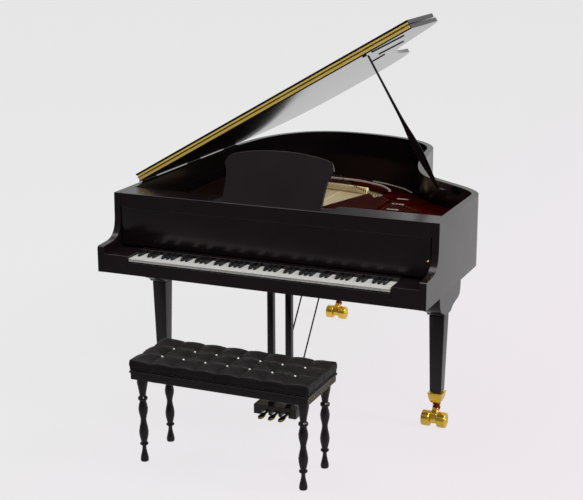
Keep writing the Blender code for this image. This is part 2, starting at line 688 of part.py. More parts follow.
def make_caster(name, place, root):
    """A brass ferrule under the leg, a horn that swivels in it, and a pair of wheels on one axle."""
    top = LEG_BOTTOM - GAP
    widths = (FERRULE_TOP_HALF, FERRULE_BOTTOM_HALF)
    square_taper(f"ferrule_{name}", BRASS, *widths, FERRULE_BOTTOM, top, place, root)
    swivel = empty(f"swivel_{name}", place, root)
    neck = FERRULE_BOTTOM - GAP
    hub_y = -CASTER_TRAIL
    outline = [(1.15 * MM, neck), (-1.15 * MM, neck), (-1.25 * MM, 6.9 * MM), (-2.3 * MM, 5.4 * MM)]
    for k in range(9):
        angle = math.radians(110 + k * 230 / 8)
        outline.append((hub_y + 1.75 * MM * math.cos(angle), WHEEL_RADIUS + 1.75 * MM * math.sin(angle)))
    outline += [(0.4 * MM, 5.0 * MM), (1.2 * MM, 6.6 * MM)]
    bore = []
    for k in range(16):
        angle = k * math.pi / 8
        bore.append((hub_y + 0.85 * MM * math.cos(angle), WHEEL_RADIUS + 0.85 * MM * math.sin(angle)))
    side_profile(f"caster_horn_{name}", BRASS, [outline, bore], -1.1 * MM, 1.1 * MM, swivel)
    axle = empty(f"axle_{name}", (0, hub_y, WHEEL_RADIUS), swivel, (0, math.pi / 2, 0))
    inner, outer, edge = 1.45 * MM, 4.6 * MM, 0.35 * MM
    half_section = [
        (0, outer - 0.5 * MM),
        (0.9 * MM, outer - 0.5 * MM),
        (1.0 * MM, outer - edge),
        (1.4 * MM, outer),
        (WHEEL_RADIUS - edge, outer),
        (WHEEL_RADIUS, outer - edge),
        (WHEEL_RADIUS, inner + edge),
        (WHEEL_RADIUS - edge, inner),
        (0.5 * MM, inner),
    ]
    mirrored = [(r, -z) for r, z in reversed(half_section)]
    turned(f"caster_wheels_{name}", BRASS, half_section + mirrored, (0, 0, 0), axle, 28)


def make_lyre(root):
    low = (-7 * MM, 20.5 * MM, LYRE_BLOCK_BOTTOM)
    box("lyre_top_block", BLACK, low, (7 * MM, 27 * MM, CASE_BOTTOM - GAP), root)
    for side, name in ((-1, "lyre_post_left"), (1, "lyre_post_right")):
        low = (side * POST_X - POST_HALF, 21.9 * MM, BOX_TOP + GAP)
        high = (side * POST_X + POST_HALF, 24.3 * MM, LYRE_BLOCK_BOTTOM - GAP)
        box(name, BLACK, low, high, root)
    half_slot = 1.45 * MM
    ceiling = 2.75 * MM
    outline = [(-BOX_HALF, BOX_BOTTOM)]
    for i in (-1, 0, 1):
        middle = i * PEDAL_SPACING
        outline += [(middle - half_slot, BOX_BOTTOM), (middle - half_slot, ceiling)]
        outline += [(middle + half_slot, ceiling), (middle + half_slot, BOX_BOTTOM)]
    outline += [(BOX_HALF, BOX_BOTTOM), (BOX_HALF, BOX_TOP), (-BOX_HALF, BOX_TOP)]
    front_profile("pedal_box", BLACK, [outline], LYRE_FRONT, BOX_REAR, root)
    for side, name in ((-1, "lyre_brace_left"), (1, "lyre_brace_right")):
        x = side * POST_X
        foot = (x, 27.0 * MM, BOX_TOP + 0.55 * MM)
        head = (x, 65 * MM, CASE_BOTTOM - GAP - 0.4 * MM)
        rod(name, BLACK, foot, head, 0.3 * MM, root)
    for i, name in ((-1, "pedal_left"), (0, "pedal_middle"), (1, "pedal_right")):
        pivot = empty(f"{name}_pivot", (i * PEDAL_SPACING, PEDAL_PIVOT_Y, PEDAL_Z), root)
        tip = 12.8 * MM - PEDAL_PIVOT_Y
        toe = cubic((-0.8, 4.6), (-1.5, 3.4), (-1.5, 0.2), (0, 0), 5)
        left = [(x * MM, tip + y * MM) for x, y in toe]
        right = [(-x, y) for x, y in reversed(left)]
        outline = [(-0.8 * MM, 0.8 * MM)] + left + [(0, tip)] + right + [(0.8 * MM, 0.8 * MM)]
        pedal = bpy.data.objects.new(name, flat_outline([outline], 0.9 * MM))
        finish(pedal, name, BRASS, pivot)


def make_bench(root):
    bench = empty("bench", BENCH_CENTRE, root)
    for front, row in ((-1, "front"), (1, "rear")):
        for side, column in ((-1, "left"), (1, "right")):
            profile = [(r * MM, z * MM) for r, z in BENCH_LEG]
            profile = [(0, profile[0][1])] + profile + [(0, 0)]
            place = (side * BENCH_LEG_X, front * BENCH_LEG_Y, 0)
            turned(f"bench_leg_{row}_{column}", BLACK, profile, place, bench, 16)
    low = (-BENCH_HALF_X, -BENCH_HALF_Y, SEAT_FRAME_BOTTOM)
    box("bench_frame", BLACK, low, (BENCH_HALF_X, BENCH_HALF_Y, SEAT_FRAME_TOP), bench, 0.25 * MM)
    low = (-BENCH_HALF_X + 0.3 * MM, -BENCH_HALF_Y + 0.3 * MM, SEAT_FRAME_TOP + GAP)
    high = (BENCH_HALF_X - 0.3 * MM, BENCH_HALF_Y - 0.3 * MM, CUSHION_TOP)
    box("bench_cushion", LEATHER, low, high, bench, 0.9 * MM)


clear_scene()
PIANO = make_collection("miniature_grand_piano")
CUTTERS = make_collection("cutters")
CUTTERS.hide_render = True
ROOT = empty("piano", (-ORIGIN_X, -ORIGIN_Y, 0), None)
make_case(ROOT)
make_spine_hinges(ROOT)
make_inside(ROOT)
make_keys(ROOT)
make_fallboard(ROOT)
make_desk(ROOT)
make_lid(ROOT)
make_leg("right", FRONT_LEG, 11.0 * MM, 16.0 * MM, ROOT)
make_leg("left", Vector((-FRONT_LEG.x, FRONT_LEG.y, 0)), 11.0 * MM, 16.0 * MM, ROOT)
make_leg("tail", TAIL_LEG, 11.0 * MM, 14.0 * MM, ROOT)
make_lyre(ROOT)
make_bench(ROOT)
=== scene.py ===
"""Looks of the miniature grand piano and its bench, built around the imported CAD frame.

Shapes are written in millimetres in the design's own frame: x = 0 is the middle of the keyboard,
y = 0 is the front of the arms and z = 0 is the floor. DESIGN carries them to the frame. LID, DESK,
PROP and BENCH do the same for shapes written about those parts, as they stand at rest.
"""

import json
import math
import random

import bmesh
import bpy
from mathutils import Matrix, Vector, noise


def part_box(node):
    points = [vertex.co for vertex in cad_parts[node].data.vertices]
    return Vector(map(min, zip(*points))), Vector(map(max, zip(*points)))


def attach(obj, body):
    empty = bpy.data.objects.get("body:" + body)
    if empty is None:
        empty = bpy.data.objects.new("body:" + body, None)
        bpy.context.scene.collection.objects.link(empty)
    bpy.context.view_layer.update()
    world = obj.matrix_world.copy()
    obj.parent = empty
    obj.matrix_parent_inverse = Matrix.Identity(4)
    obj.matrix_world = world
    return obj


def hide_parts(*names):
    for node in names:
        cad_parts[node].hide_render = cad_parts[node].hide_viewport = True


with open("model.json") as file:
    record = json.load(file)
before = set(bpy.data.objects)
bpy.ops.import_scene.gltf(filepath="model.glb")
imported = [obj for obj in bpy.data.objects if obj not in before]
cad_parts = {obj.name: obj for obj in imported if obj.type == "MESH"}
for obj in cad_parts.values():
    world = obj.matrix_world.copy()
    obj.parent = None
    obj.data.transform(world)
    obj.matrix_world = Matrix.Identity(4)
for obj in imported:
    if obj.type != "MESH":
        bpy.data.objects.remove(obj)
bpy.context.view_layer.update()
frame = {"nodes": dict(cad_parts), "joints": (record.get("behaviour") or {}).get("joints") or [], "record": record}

MM = 0.001
RANDOM = random.Random(12)
JOINTS = {joint["name"]: joint for joint in frame["joints"]}

# ---------------- places, from the frame

KEYS_LOW, KEYS_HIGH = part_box("white_keys")
KEYBED_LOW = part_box("keybed")[0]
SCALE = Matrix.Scale(MM, 4)
ORIGIN = Vector(((KEYS_LOW.x + KEYS_HIGH.x) / 2, KEYBED_LOW.y, 0))
DESIGN = Matrix.Translation(ORIGIN) @ SCALE

LID_OPEN = -math.radians(JOINTS["lid_hinge"]["range_deg"][0])
LID_HINGE = Vector(JOINTS["lid_hinge"]["pos_m"])
LID_TURN = Matrix.Rotation(-LID_OPEN, 4, "Y")
LID = Matrix.Translation((LID_HINGE.x, ORIGIN.y, LID_HINGE.z)) @ LID_TURN @ SCALE
HINGE_X = (LID_HINGE.x - ORIGIN.x) / MM
HINGE_Z = LID_HINGE.z / MM

DESK_LEAN = math.pi / 2 + math.radians(JOINTS["music_desk_hinge"]["range_deg"][0])
DESK_AXIS = Vector(JOINTS["music_desk_hinge"]["pos_m"])
DESK = Matrix.Translation(DESK_AXIS) @ Matrix.Rotation(-DESK_LEAN, 4, "X") @ SCALE

BENCH_LOW, BENCH_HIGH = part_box("bench_frame")
BENCH = Matrix.Translation((*((BENCH_LOW + BENCH_HIGH) / 2).xy, 0)) @ SCALE


def prop_matrix():
    """The prop's frame: x runs from its pivot to its foot, and z is its thin side."""
    axis = Vector(JOINTS["prop_hinge"]["axis"])
    normal = LID_TURN.to_3x3() @ Vector((0, 0, 1))
    folded = axis.cross(normal).normalized()
    if folded.y < 0:
        folded = -folded
    ratio = frame["record"]["behaviour"]["couplings"][0]["ratio"]
    unfold = Matrix.Rotation(ratio * LID_OPEN, 3, axis)
    flat = Matrix((folded, normal.cross(folded), normal)).transposed()
    pivot = Vector(JOINTS["prop_hinge"]["pos_m"])
    return Matrix.Translation(pivot) @ (unfold @ flat).to_4x4() @ SCALE


PROP = prop_matrix()

# ---------------- sizes that several parts share

HALF_WIDTH = 63.8
WALL = 2.6
CASE_BOTTOM = 55.5
RIM_TOP = 82.93
INNER_HALF = HALF_WIDTH - WALL - 0.3
RAIL_REAR = 24.2

WHITE_KEYS = 52
KEY_PITCH = 23.5 / 12

SPINE_HINGES = (40, 78, 112)
SPINE_HINGE_HALF = 5.0
SPINE_KNUCKLES = 5

DESK_HALF = 21.6
DESK_HEIGHT = 21.6
DESK_THICK = 0.8

# ---------------- materials


# The part of a noise texture's range that its values fill.
DARKEST, LIGHTEST = 0.3, 0.7


def node(tree, kind, **inputs):
    """A new node with inputs set by name, an underscore standing for a space."""
    made = tree.nodes.new(kind)
    for name, value in inputs.items():
        made.inputs[name.replace("_", " ")].default_value = value
    return made


def link(tree, source, output, target, name):
    tree.links.new(source.outputs[output], target.inputs[name])


def feed(tree, entry, value):
    """Gives an input another node's socket or a plain value."""
    if isinstance(value, bpy.types.NodeSocket):
        tree.links.new(value, entry)
    else:
        entry.default_value = value


def compute(tree, operation, *values):
    """The result of a maths node on sockets and plain numbers."""
    made = tree.nodes.new("ShaderNodeMath")
    made.operation = operation
    for entry, value in zip(made.inputs, values):
        feed(tree, entry, value)
    return made.outputs["Value"]


def mixed(tree, kind, factor, first, second):
    """A blend from one value or socket to another as the factor goes from 0 to 1."""
    made = tree.nodes.new("ShaderNodeMix")
    made.data_type = kind
    feed(tree, made.inputs["Factor"], factor)
    feed(tree, made.inputs["A"], first)
    feed(tree, made.inputs["B"], second)
    return made.outputs["Result"]


def spread(tree, source, start, end, low=0.0, high=1.0):
    """A socket that runs from low to high as the source socket runs from start to end."""
    made = node(tree, "ShaderNodeMapRange", From_Min=start, From_Max=end, To_Min=low, To_Max=high)
    tree.links.new(source, made.inputs["Value"])
    return made.outputs["Result"]


def axes_of(tree, source, output):
    """The X, Y and Z sockets of a vector."""
    made = tree.nodes.new("ShaderNodeSeparateXYZ")
    link(tree, source, output, made, "Vector")
    return made.outputs


def coordinates(tree, stretch=(1, 1, 1), turn=0.0):
    coords = tree.nodes.new("ShaderNodeTexCoord")
    mapping = node(tree, "ShaderNodeMapping", Scale=stretch, Rotation=(0, 0, turn))
    link(tree, coords, "Object", mapping, "Vector")
    return mapping


def noise_over(tree, mapping, scale, detail):
    made = node(tree, "ShaderNodeTexNoise", Scale=scale, Detail=detail)
    link(tree, mapping, "Vector", made, "Vector")
    return made


def ramp_between(tree, source, output, low, high):
    """A colour socket that goes from low to high as a texture's value goes from dark to light."""
    ramp = tree.nodes.new("ShaderNodeValToRGB")
    for stop, position, colour in zip(ramp.color_ramp.elements, (DARKEST, LIGHTEST), (low, high)):
        stop.position = position
        stop.color = (*colour, 1)
    link(tree, source, output, ramp, "Fac")
    return ramp.outputs["Color"]


def new_surface(name, metallic=0.0, ior=1.5, coat=0.0, coat_roughness=0.03, sheen=0.0, specular=0.5):
    """A material with its node tree and its Principled shader."""
    material = bpy.data.materials.new(name)
    material.use_nodes = True
    tree = material.node_tree
    shader = tree.nodes["Principled BSDF"]
    shader.inputs["Metallic"].default_value = metallic
    shader.inputs["IOR"].default_value = ior
    shader.inputs["Specular IOR Level"].default_value = specular
    shader.inputs["Coat Weight"].default_value = coat
    shader.inputs["Coat Roughness"].default_value = coat_roughness
    shader.inputs["Sheen Weight"].default_value = sheen
    return material, tree, shader


def vary_roughness(tree, shader, mapping, scale, low, high):
    cloud = noise_over(tree, mapping, scale, 4.0)
    level = spread(tree, cloud.outputs["Fac"], DARKEST, LIGHTEST, low, high)
    tree.links.new(level, shader.inputs["Roughness"])


def add_bump(tree, shader, source, output, strength, distance):
    bump = node(tree, "ShaderNodeBump", Strength=strength, Distance=distance)
    link(tree, source, output, bump, "Height")
    link(tree, bump, "Normal", shader, "Normal")


def lacquer(name, roughness, reflection_tint):
    """Polished black lacquer: nearly black, with a faint warmth, fine swirls and orange peel. Its reflections take
    a tint colour, which is a painted reflection colour.
    """
    material, tree, shader = new_surface(name)
    shader.inputs["Specular Tint"].default_value = (*reflection_tint, 1)
    mapping = coordinates(tree)
    cloud = noise_over(tree, mapping, 60.0, 3.0)
    colour = ramp_between(tree, cloud, "Fac", (0.0062, 0.0034, 0.0042), (0.0092, 0.0056, 0.0066))
    tree.links.new(colour, shader.inputs["Base Color"])
    vary_roughness(tree, shader, mapping, 90.0, *roughness)
    peel = noise_over(tree, mapping, 900.0, 1.0)
    add_bump(tree, shader, peel, "Fac", 0.01, 0.00001)
    return material


def brass(name, low, high, roughness, grain_depth=0.06, metallic=1.0):
    """Brass or a metal like it, with faint tarnish clouds and a fine drawn grain."""
    material, tree, shader = new_surface(name, metallic=metallic)
    mapping = coordinates(tree)
    cloud = noise_over(tree, mapping, 350.0, 5.0)
    colour = ramp_between(tree, cloud, "Fac", low, high)
    tree.links.new(colour, shader.inputs["Base Color"])
    vary_roughness(tree, shader, mapping, 700.0, *roughness)
    grain = noise_over(tree, coordinates(tree, (1, 1, 9)), 2500.0, 2.0)
    add_bump(tree, shader, grain, "Fac", grain_depth, 0.00002)
    return material


def wood(name, low, high, roughness, turn, coat, rings=420.0):
    """Wood with straight grain along its own Y, darker growth lines and fine pores."""
    material, tree, shader = new_surface(name, coat=coat, coat_roughness=0.12)
    mapping = coordinates(tree, (1, 0.05, 1), turn)
    lines = node(tree, "ShaderNodeTexWave", Scale=rings, Distortion=3.0, Detail=3.0)
    lines.inputs["Detail Scale"].default_value = 1.5
    link(tree, mapping, "Vector", lines, "Vector")
    colour = ramp_between(tree, lines, "Fac", low, high)
    tree.links.new(colour, shader.inputs["Base Color"])
    vary_roughness(tree, shader, mapping, 300.0, *roughness)
    add_bump(tree, shader, lines, "Fac", 0.15, 0.00003)
    return material


def grained(name, low, high, roughness, scale, bump, coat=0.0, sheen=0.0, metallic=0.0, specular=0.5):
    """A surface with a fine even grain, such as cast iron, felt, ivory plastic or ebony."""
    material, tree, shader = new_surface(name, coat=coat, sheen=sheen, metallic=metallic, specular=specular)
    mapping = coordinates(tree)
    grain = noise_over(tree, mapping, scale, 4.0)
    colour = ramp_between(tree, grain, "Fac", low, high)
    tree.links.new(colour, shader.inputs["Base Color"])
    vary_roughness(tree, shader, mapping, scale * 0.4, *roughness)
    add_bump(tree, shader, grain, "Fac", *bump)
    return material


def leather():
    """Black leather: pebbled cells with fine creases between them."""
    material, tree, shader = new_surface("seat_leather", specular=0.22)
    mapping = coordinates(tree)
    cells = node(tree, "ShaderNodeTexVoronoi", Scale=2400.0)
    cells.feature = "DISTANCE_TO_EDGE"
    link(tree, mapping, "Vector", cells, "Vector")
    cloud = noise_over(tree, mapping, 160.0, 5.0)
    colour = ramp_between(tree, cloud, "Fac", (0.0060, 0.0042, 0.0048), (0.0125, 0.0088, 0.0098))
    tree.links.new(colour, shader.inputs["Base Color"])
    vary_roughness(tree, shader, mapping, 500.0, 0.40, 0.55)
    add_bump(tree, shader, cells, "Distance", 0.3, 0.00008)
    return material


def cast_plate():
    """Dark red paint on cast iron, with painted shade that makes it almost black at the tail, the treble edge and
    the bass side.
    """
    material, tree, shader = new_surface("iron_plate", specular=0.0, ior=1.45)
    mapping = coordinates(tree)
    grain = noise_over(tree, mapping, 150.0, 5.0)
    red = ramp_between(tree, grain, "Fac", (0.014, 0.0010, 0.0006), (0.072, 0.0045, 0.0020))
    # Painted shade: masks that darken the plate towards the tail, the treble edge and the bass side, where the
    # inside of the case lies in shade.
    axes = axes_of(tree, mapping, "Vector")
    slanted = compute(tree, "MULTIPLY_ADD", axes["X"], 0.75, axes["Y"])
    tail = spread(tree, axes["Y"], ORIGIN.y + 0.112, ORIGIN.y + 0.118)
    treble = spread(tree, slanted, ORIGIN.y + 0.111, ORIGIN.y + 0.116)
    bass = spread(tree, axes["X"], ORIGIN.x - 0.014, ORIGIN.x - 0.034)
    painted_shade = compute(tree, "MAXIMUM", compute(tree, "MAXIMUM", tail, treble), bass)
    # The near-black second colour is the painted shade.
    paint = mixed(tree, "RGBA", painted_shade, red, (0.0085, 0.0045, 0.0040, 1))
    tree.links.new(paint, shader.inputs["Base Color"])
    vary_roughness(tree, shader, mapping, 200.0, 0.42, 0.55)
    add_bump(tree, shader, grain, "Fac", 0.22, 0.00004)
    return material


# The case's lacquer tints its reflections pink: painted reflection of a warm room. The lid's lacquer reflects
# white.
LACQUER = lacquer("black_lacquer", (0.20, 0.24), (1.0, 0.89, 0.93))
LID_LACQUER = lacquer("lid_lacquer", (0.075, 0.095), (1.0, 1.0, 1.0))
BRASS = brass("polished_brass", (0.94, 0.56, 0.06), (1.0, 0.70, 0.12), (0.09, 0.17), 0.06, 0.8)
SATIN_BRASS = brass("satin_brass", (1.0, 0.66, 0.13), (1.0, 0.75, 0.20), (0.30, 0.38), 0.01, 0.0)
# Dark brass: on the long hinge's knuckles it is painted shade, the dark line between the gold leaves. The hitch
# pins, agraffes and pedals take it too.
DARK_BRASS = brass("dark_brass", (0.10, 0.075, 0.012), (0.30, 0.23, 0.045), (0.16, 0.30))
COPPER = brass("copper_winding", (0.030, 0.011, 0.006), (0.060, 0.024, 0.013), (0.40, 0.55))
STEEL = grained("string_steel", (0.060, 0.050, 0.044), (0.12, 0.105, 0.094), (0.30, 0.45), 1500.0,
                (0.05, 0.00001), metallic=1.0)
IVORY = grained("white_key", (0.655, 0.635, 0.61), (0.715, 0.695, 0.67), (0.16, 0.26), 420.0,
                (0.02, 0.00001), coat=0.3)
EBONY = grained("black_key", (0.006, 0.006, 0.006), (0.014, 0.013, 0.013), (0.22, 0.36), 900.0,
                (0.05, 0.00001))
IRON = cast_plate()
FELT = grained("damper_felt", (0.36, 0.35, 0.33), (0.55, 0.54, 0.51), (0.85, 0.95), 2600.0,
               (0.5, 0.00008), sheen=0.4)
BUFFER_FELT = grained("buffer_felt", (0.006, 0.005, 0.005), (0.012, 0.010, 0.010), (0.9, 0.97), 2600.0,
                      (0.4, 0.00004), specular=0.05)
PEARL = grained("pale_button", (0.72, 0.66, 0.60), (0.88, 0.82, 0.77), (0.12, 0.25), 800.0,
                (0.05, 0.00001), coat=0.6)
# The spruce is paler than the wood's own tone: painted light, so that the soundboard, which the raised lid shades,
# reads as lit.
SPRUCE = wood("soundboard_spruce", (0.84, 0.65, 0.35), (0.97, 0.82, 0.52), (0.35, 0.50),
              math.radians(24), 0.15)
MAPLE = wood("beam_maple", (0.10, 0.055, 0.028), (0.18, 0.105, 0.055), (0.40, 0.55), 0.0, 0.15, 300.0)
BRIDGE_WOOD = wood("bridge_maple", (0.78, 0.60, 0.33), (0.92, 0.76, 0.48), (0.40, 0.55), 0.0, 0.1, 300.0)
RED_BRONZE = brass("red_bronze", (0.16, 0.022, 0.008), (0.34, 0.075, 0.022), (0.10, 0.20))
PALE_EDGE = grained("pale_edge", (0.48, 0.38, 0.32), (0.66, 0.55, 0.47), (0.35, 0.50), 900.0,
                    (0.05, 0.00001))
LEATHER = leather()

# ---------------- making meshes, in millimetres


def cubic(a, b, c, d, steps):
    """Points along a cubic from a towards d, leaving d out."""
    points = []
    for i in range(steps):
        t = i / steps
        s = 1 - t
        weights = (s**3, 3 * s * s * t, 3 * s * t * t, t**3)
        points.append(tuple(sum(w * p[k] for w, p in zip(weights, (a, b, c, d))) for k in (0, 1)))
    return points


def offset_path(points, distance):
    """An open path moved sideways, to its right as it runs, by one distance."""
    moved = []
    last = len(points) - 1
    for i, point in enumerate(points):
        here = Vector(point)
        first = (here - Vector(points[i - 1])).normalized() if i else None
        second = (Vector(points[i + 1]) - here).normalized() if i < last else first
        first = first or second
        middle = (first + second).normalized()
        moved.append(tuple(here + Vector((middle.y, -middle.x)) * distance / max(middle.dot(first), 0.5)))
    return moved


def smooth_line(points, steps=8):
    """A flowing line through every one of these points (Catmull-Rom)."""
    points = [Vector(p) for p in points]
    ends = [points[0] * 2 - points[1]] + points + [points[-1] * 2 - points[-2]]
    line = []
    for a, b, c, d in zip(ends, ends[1:], ends[2:], ends[3:]):
        for i in range(steps):
            t = i / steps
            bend = (2 * a - 5 * b + 4 * c - d) * t**2 + (3 * b - a - 3 * c + d) * t**3
            line.append(0.5 * (2 * b + (c - a) * t + bend))
    return [tuple(p) for p in line + [points[-1]]]


def slab(outlines, low, high):
    """A flat shape with holes, from closed outlines in x and y, between two heights."""
    curve = bpy.data.curves.new("outline", "CURVE")
    curve.dimensions = "2D"
    curve.fill_mode = "BOTH"
    curve.extrude = (high - low) / 2
    for outline in outlines:
        spline = curve.splines.new("POLY")
        spline.points.add(len(outline) - 1)
        for corner, (x, y) in zip(spline.points, outline):
            corner.co = (x, y, 0, 1)
        spline.use_cyclic_u = True
    holder = bpy.data.objects.new("outline", curve)
    bpy.context.scene.collection.objects.link(holder)
    bpy.context.view_layer.update()
    mesh = bpy.data.meshes.new_from_object(holder.evaluated_get(bpy.context.evaluated_depsgraph_get()))
    bpy.data.objects.remove(holder)
    mesh.transform(Matrix.Translation((0, 0, (low + high) / 2)))
    bm = bmesh.new()
    bm.from_mesh(mesh)
    bmesh.ops.remove_doubles(bm, verts=bm.verts, dist=0.0005)
    bmesh.ops.recalc_face_normals(bm, faces=bm.faces)
    bmesh.ops.dissolve_limit(bm, angle_limit=0.001, verts=bm.verts, edges=bm.edges)
    return bm


def side_slab(outlines, low_x, high_x):
    """The same from a side view: outlines in y and z, between two x."""
    bm = slab(outlines, low_x, high_x)
    turn = Matrix(((0, 0, 1, 0), (1, 0, 0, 0), (0, 1, 0, 0), (0, 0, 0, 1)))
    bmesh.ops.transform(bm, matrix=turn, verts=bm.verts)
    return bm


def front_slab(outlines, low_y, high_y):
    """The same from a front view: outlines in x and z, between two y."""
    bm = slab(outlines, -high_y, -low_y)
    bmesh.ops.transform(bm, matrix=Matrix.Rotation(math.pi / 2, 4, "X"), verts=bm.verts)
    return bm


def add_box(bm, low, high, matrix=Matrix.Identity(4)):
    """A box between two corners. It gives back its vertices."""
    low, high = Vector(low), Vector(high)
    place = matrix @ Matrix.Translation((low + high) / 2) @ Matrix.Diagonal((*(high - low), 1))
    return bmesh.ops.create_cube(bm, size=1, matrix=place)["verts"]


def add_rod(bm, start, end, radius, sides=16, end_radius=None):
    """A round bar, or a cone where its end's radius differs."""
    start, end = Vector(start), Vector(end)
    turn = (end - start).to_track_quat("Z", "Y").to_matrix().to_4x4()
    bmesh.ops.create_cone(bm, cap_ends=True, segments=sides, radius1=radius,
                          radius2=radius if end_radius is None else end_radius, depth=(end - start).length,
                          matrix=Matrix.Translation((start + end) / 2) @ turn)


def add_pin(bm, x, y, low, high, radius, sides=12, top_radius=None):
    """An upright rod."""
    add_rod(bm, (x, y, low), (x, y, high), radius, sides, top_radius)


def new_verts(bm):
    """The vertices of every face that isn't tagged yet."""
    return list({v for face in bm.faces if not face.tag for v in face.verts})


def add_turned(bm, profile, steps=48, matrix=Matrix.Identity(4)):
    """A profile of (radius, height) points turned about z."""
    verts = [bm.verts.new((r, 0, z)) for r, z in profile]
    edges = [bm.edges.new(pair) for pair in zip(verts, verts[1:])]
    bmesh.ops.spin(bm, geom=verts + edges, axis=(0, 0, 1), cent=(0, 0, 0), steps=steps, angle=2 * math.pi,
                   use_merge=True)
    bmesh.ops.remove_doubles(bm, verts=new_verts(bm), dist=0.0005)
    bmesh.ops.transform(bm, matrix=matrix, verts=new_verts(bm))
    for face in bm.faces:
        face.tag = True


def join(bm, other):
    """Adds another shape to this one and uses it up."""
    mesh = bpy.data.meshes.new("joined")
    other.to_mesh(mesh)
    other.free()
    bm.from_mesh(mesh)


def add_tube(bm, points, radius, sides=8):
    """A round bar along a line of points."""
    points = [Vector(p) for p in points]
    rings = []
    angles = [2 * math.pi * k / sides for k in range(sides)]
    for i, point in enumerate(points):
        along = (points[min(i + 1, len(points) - 1)] - points[max(i - 1, 0)]).normalized()
        side = along.orthogonal() if not rings else side - along * side.dot(along)
        side.normalize()
        up = along.cross(side)
        spokes = [side * math.cos(a) + up * math.sin(a) for a in angles]
        rings.append([bm.verts.new(point + spoke * radius) for spoke in spokes])
    for one, two in zip(rings, rings[1:]):
        for k in range(sides):
            bm.faces.new((one[k], one[(k + 1) % sides], two[(k + 1) % sides], two[k]))
    bm.faces.new(rings[0][::-1])
    bm.faces.new(rings[-1])


def cut(bm, cutters):
    """Takes closed shapes away from a mesh."""
    holder = bpy.data.objects.new("cut", bpy.data.meshes.new("cut"))
    bm.to_mesh(holder.data)
    bpy.context.scene.collection.objects.link(holder)
    tools = []
    for shape in cutters:
        tool = bpy.data.objects.new("tool", bpy.data.meshes.new("tool"))
        shape.to_mesh(tool.data)
        shape.free()
        bpy.context.scene.collection.objects.link(tool)
        modifier = holder.modifiers.new("cut", "BOOLEAN")
        modifier.object = tool
        modifier.solver = "EXACT"
        tools.append(tool)
    bpy.context.view_layer.update()
    result = bpy.data.meshes.new_from_object(holder.evaluated_get(bpy.context.evaluated_depsgraph_get()))
    for spent in [holder, *tools]:
        bpy.data.objects.remove(spent)
    bm.clear()
    bm.from_mesh(result)
    bmesh.ops.remove_doubles(bm, verts=bm.verts, dist=0.002)
    bmesh.ops.dissolve_limit(bm, angle_limit=0.002, verts=bm.verts, edges=bm.edges)
    return bm


def box_shape(low, high):
    bm = bmesh.new()
    add_box(bm, low, high)
    return bm


def rod_shape(start, end, radius, sides=24):
    bm = bmesh.new()
    add_rod(bm, start, end, radius, sides)
    return bm


def piece(name, bm, body, material, matrix=DESIGN, bevel=0.0, replaces=(), segments=3, sharp=40):
    """Makes a shape written in millimetres a piece that rides on a body, with rounded edges if asked."""
    mesh = bpy.data.meshes.new(name)
    bm.to_mesh(mesh)
    bm.free()
    mesh.transform(matrix)
    mesh.shade_smooth()
    obj = bpy.data.objects.new(name, mesh)
    bpy.context.scene.collection.objects.link(obj)
    mesh.materials.append(material)
    if bevel:
        rounding = obj.modifiers.new("rounding", "BEVEL")
        rounding.width = bevel * MM
        rounding.segments = segments
        rounding.limit_method = "ANGLE"
        rounding.angle_limit = math.radians(30)
        rounding.harden_normals = True
    else:
        mesh.set_sharp_from_angle(angle=math.radians(sharp))
    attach(obj, body)
    if replaces:
        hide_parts(*replaces)
    return obj


BODIES = frame["record"]["behaviour"]["bodies"]
BODY_OF = {member: body for body, members in BODIES.items() for member in members}


def stand_in(name, bm, material, bevel=0.0, matrix=DESIGN, segments=3, sharp=40):
    """The finer shape that replaces a CAD node, on the body that the node rides on."""
    return piece(f"{name}_fine", bm, BODY_OF[name], material, matrix, bevel, [name], segments, sharp)


def refine(name, material, bevel, segments=3):
    """For a CAD node whose shape is right: the same solid with rounded edges."""
    bm = bmesh.new()
    bm.from_mesh(frame["nodes"][name].data)
    bmesh.ops.remove_doubles(bm, verts=bm.verts, dist=0.000002)
    bmesh.ops.dissolve_limit(bm, angle_limit=0.01, verts=bm.verts, edges=bm.edges)
    stand_in(name, bm, material, bevel, Matrix.Identity(4), segments)


# ---------------- case

RIM_CURVES = [
    [(-HALF_WIDTH, 118), (-HALF_WIDTH, 150), (-50, 170), (-27, 170)],
    [(-27, 170), (-7, 170), (15.5, 163), (20.7, 142.8)],
    [(20.7, 142.8), (22.6, 128), (27.5, 101), (36.5, 89)],
    [(36.5, 89), (43.5, 80), (HALF_WIDTH, 72), (HALF_WIDTH, 60.5)],
]
KEYBED_TOP = 58.2
BLOCK_FOOT = 57.9
BLOCK_TOP = 62.6
BLOCK_REAR = 12.6
FRONT_INSET = 0.02
KNOB_X = 60.0
KNOB_ROOM_Y = 8.5


def rim_outer(front_y=0.0, steps=36):
    """The rim's outer outline, from the bass side's front end to the treble side's."""
    points = [(-HALF_WIDTH, front_y)]
    for span in RIM_CURVES:
        points += cubic(*span, steps)
    return points + [(HALF_WIDTH, RIM_CURVES[-1][-1][1]), (HALF_WIDTH, front_y)]


def above_arms():
    """Side view of what is cut away above the scrolled arms."""
    nose = cubic((0, 64.2), (0, 65.0), (0.4, 65.4), (1.2, 65.4), 8)
    sweep = cubic((6.4, 65.7), (10.6, 66.0), (12.9, 68.2), (13.2, 73.5), 16)
    return nose + [(1.2, 65.4)] + sweep + [(13.2, 73.5), (13.4, 84), (-2, 84), (-2, 64.2)]


def hinge_rooms(x, z):
    """Rods that clear the spine hinges' barrels, along a line at this x and z."""
    reach = SPINE_HINGE_HALF + 0.5
    return [rod_shape((x, y - reach, z), (x, y + reach, z), 1.15) for y in SPINE_HINGES]


def make_rim():
    outer = rim_outer()
    band = slab([outer + offset_path(outer, WALL)[::-1]], CASE_BOTTOM, RIM_TOP)
    tools = [side_slab([above_arms()], -70, 70)] + hinge_rooms(HINGE_X, HINGE_Z)
    stand_in("rim", cut(band, tools), LACQUER, 0.28, segments=4)


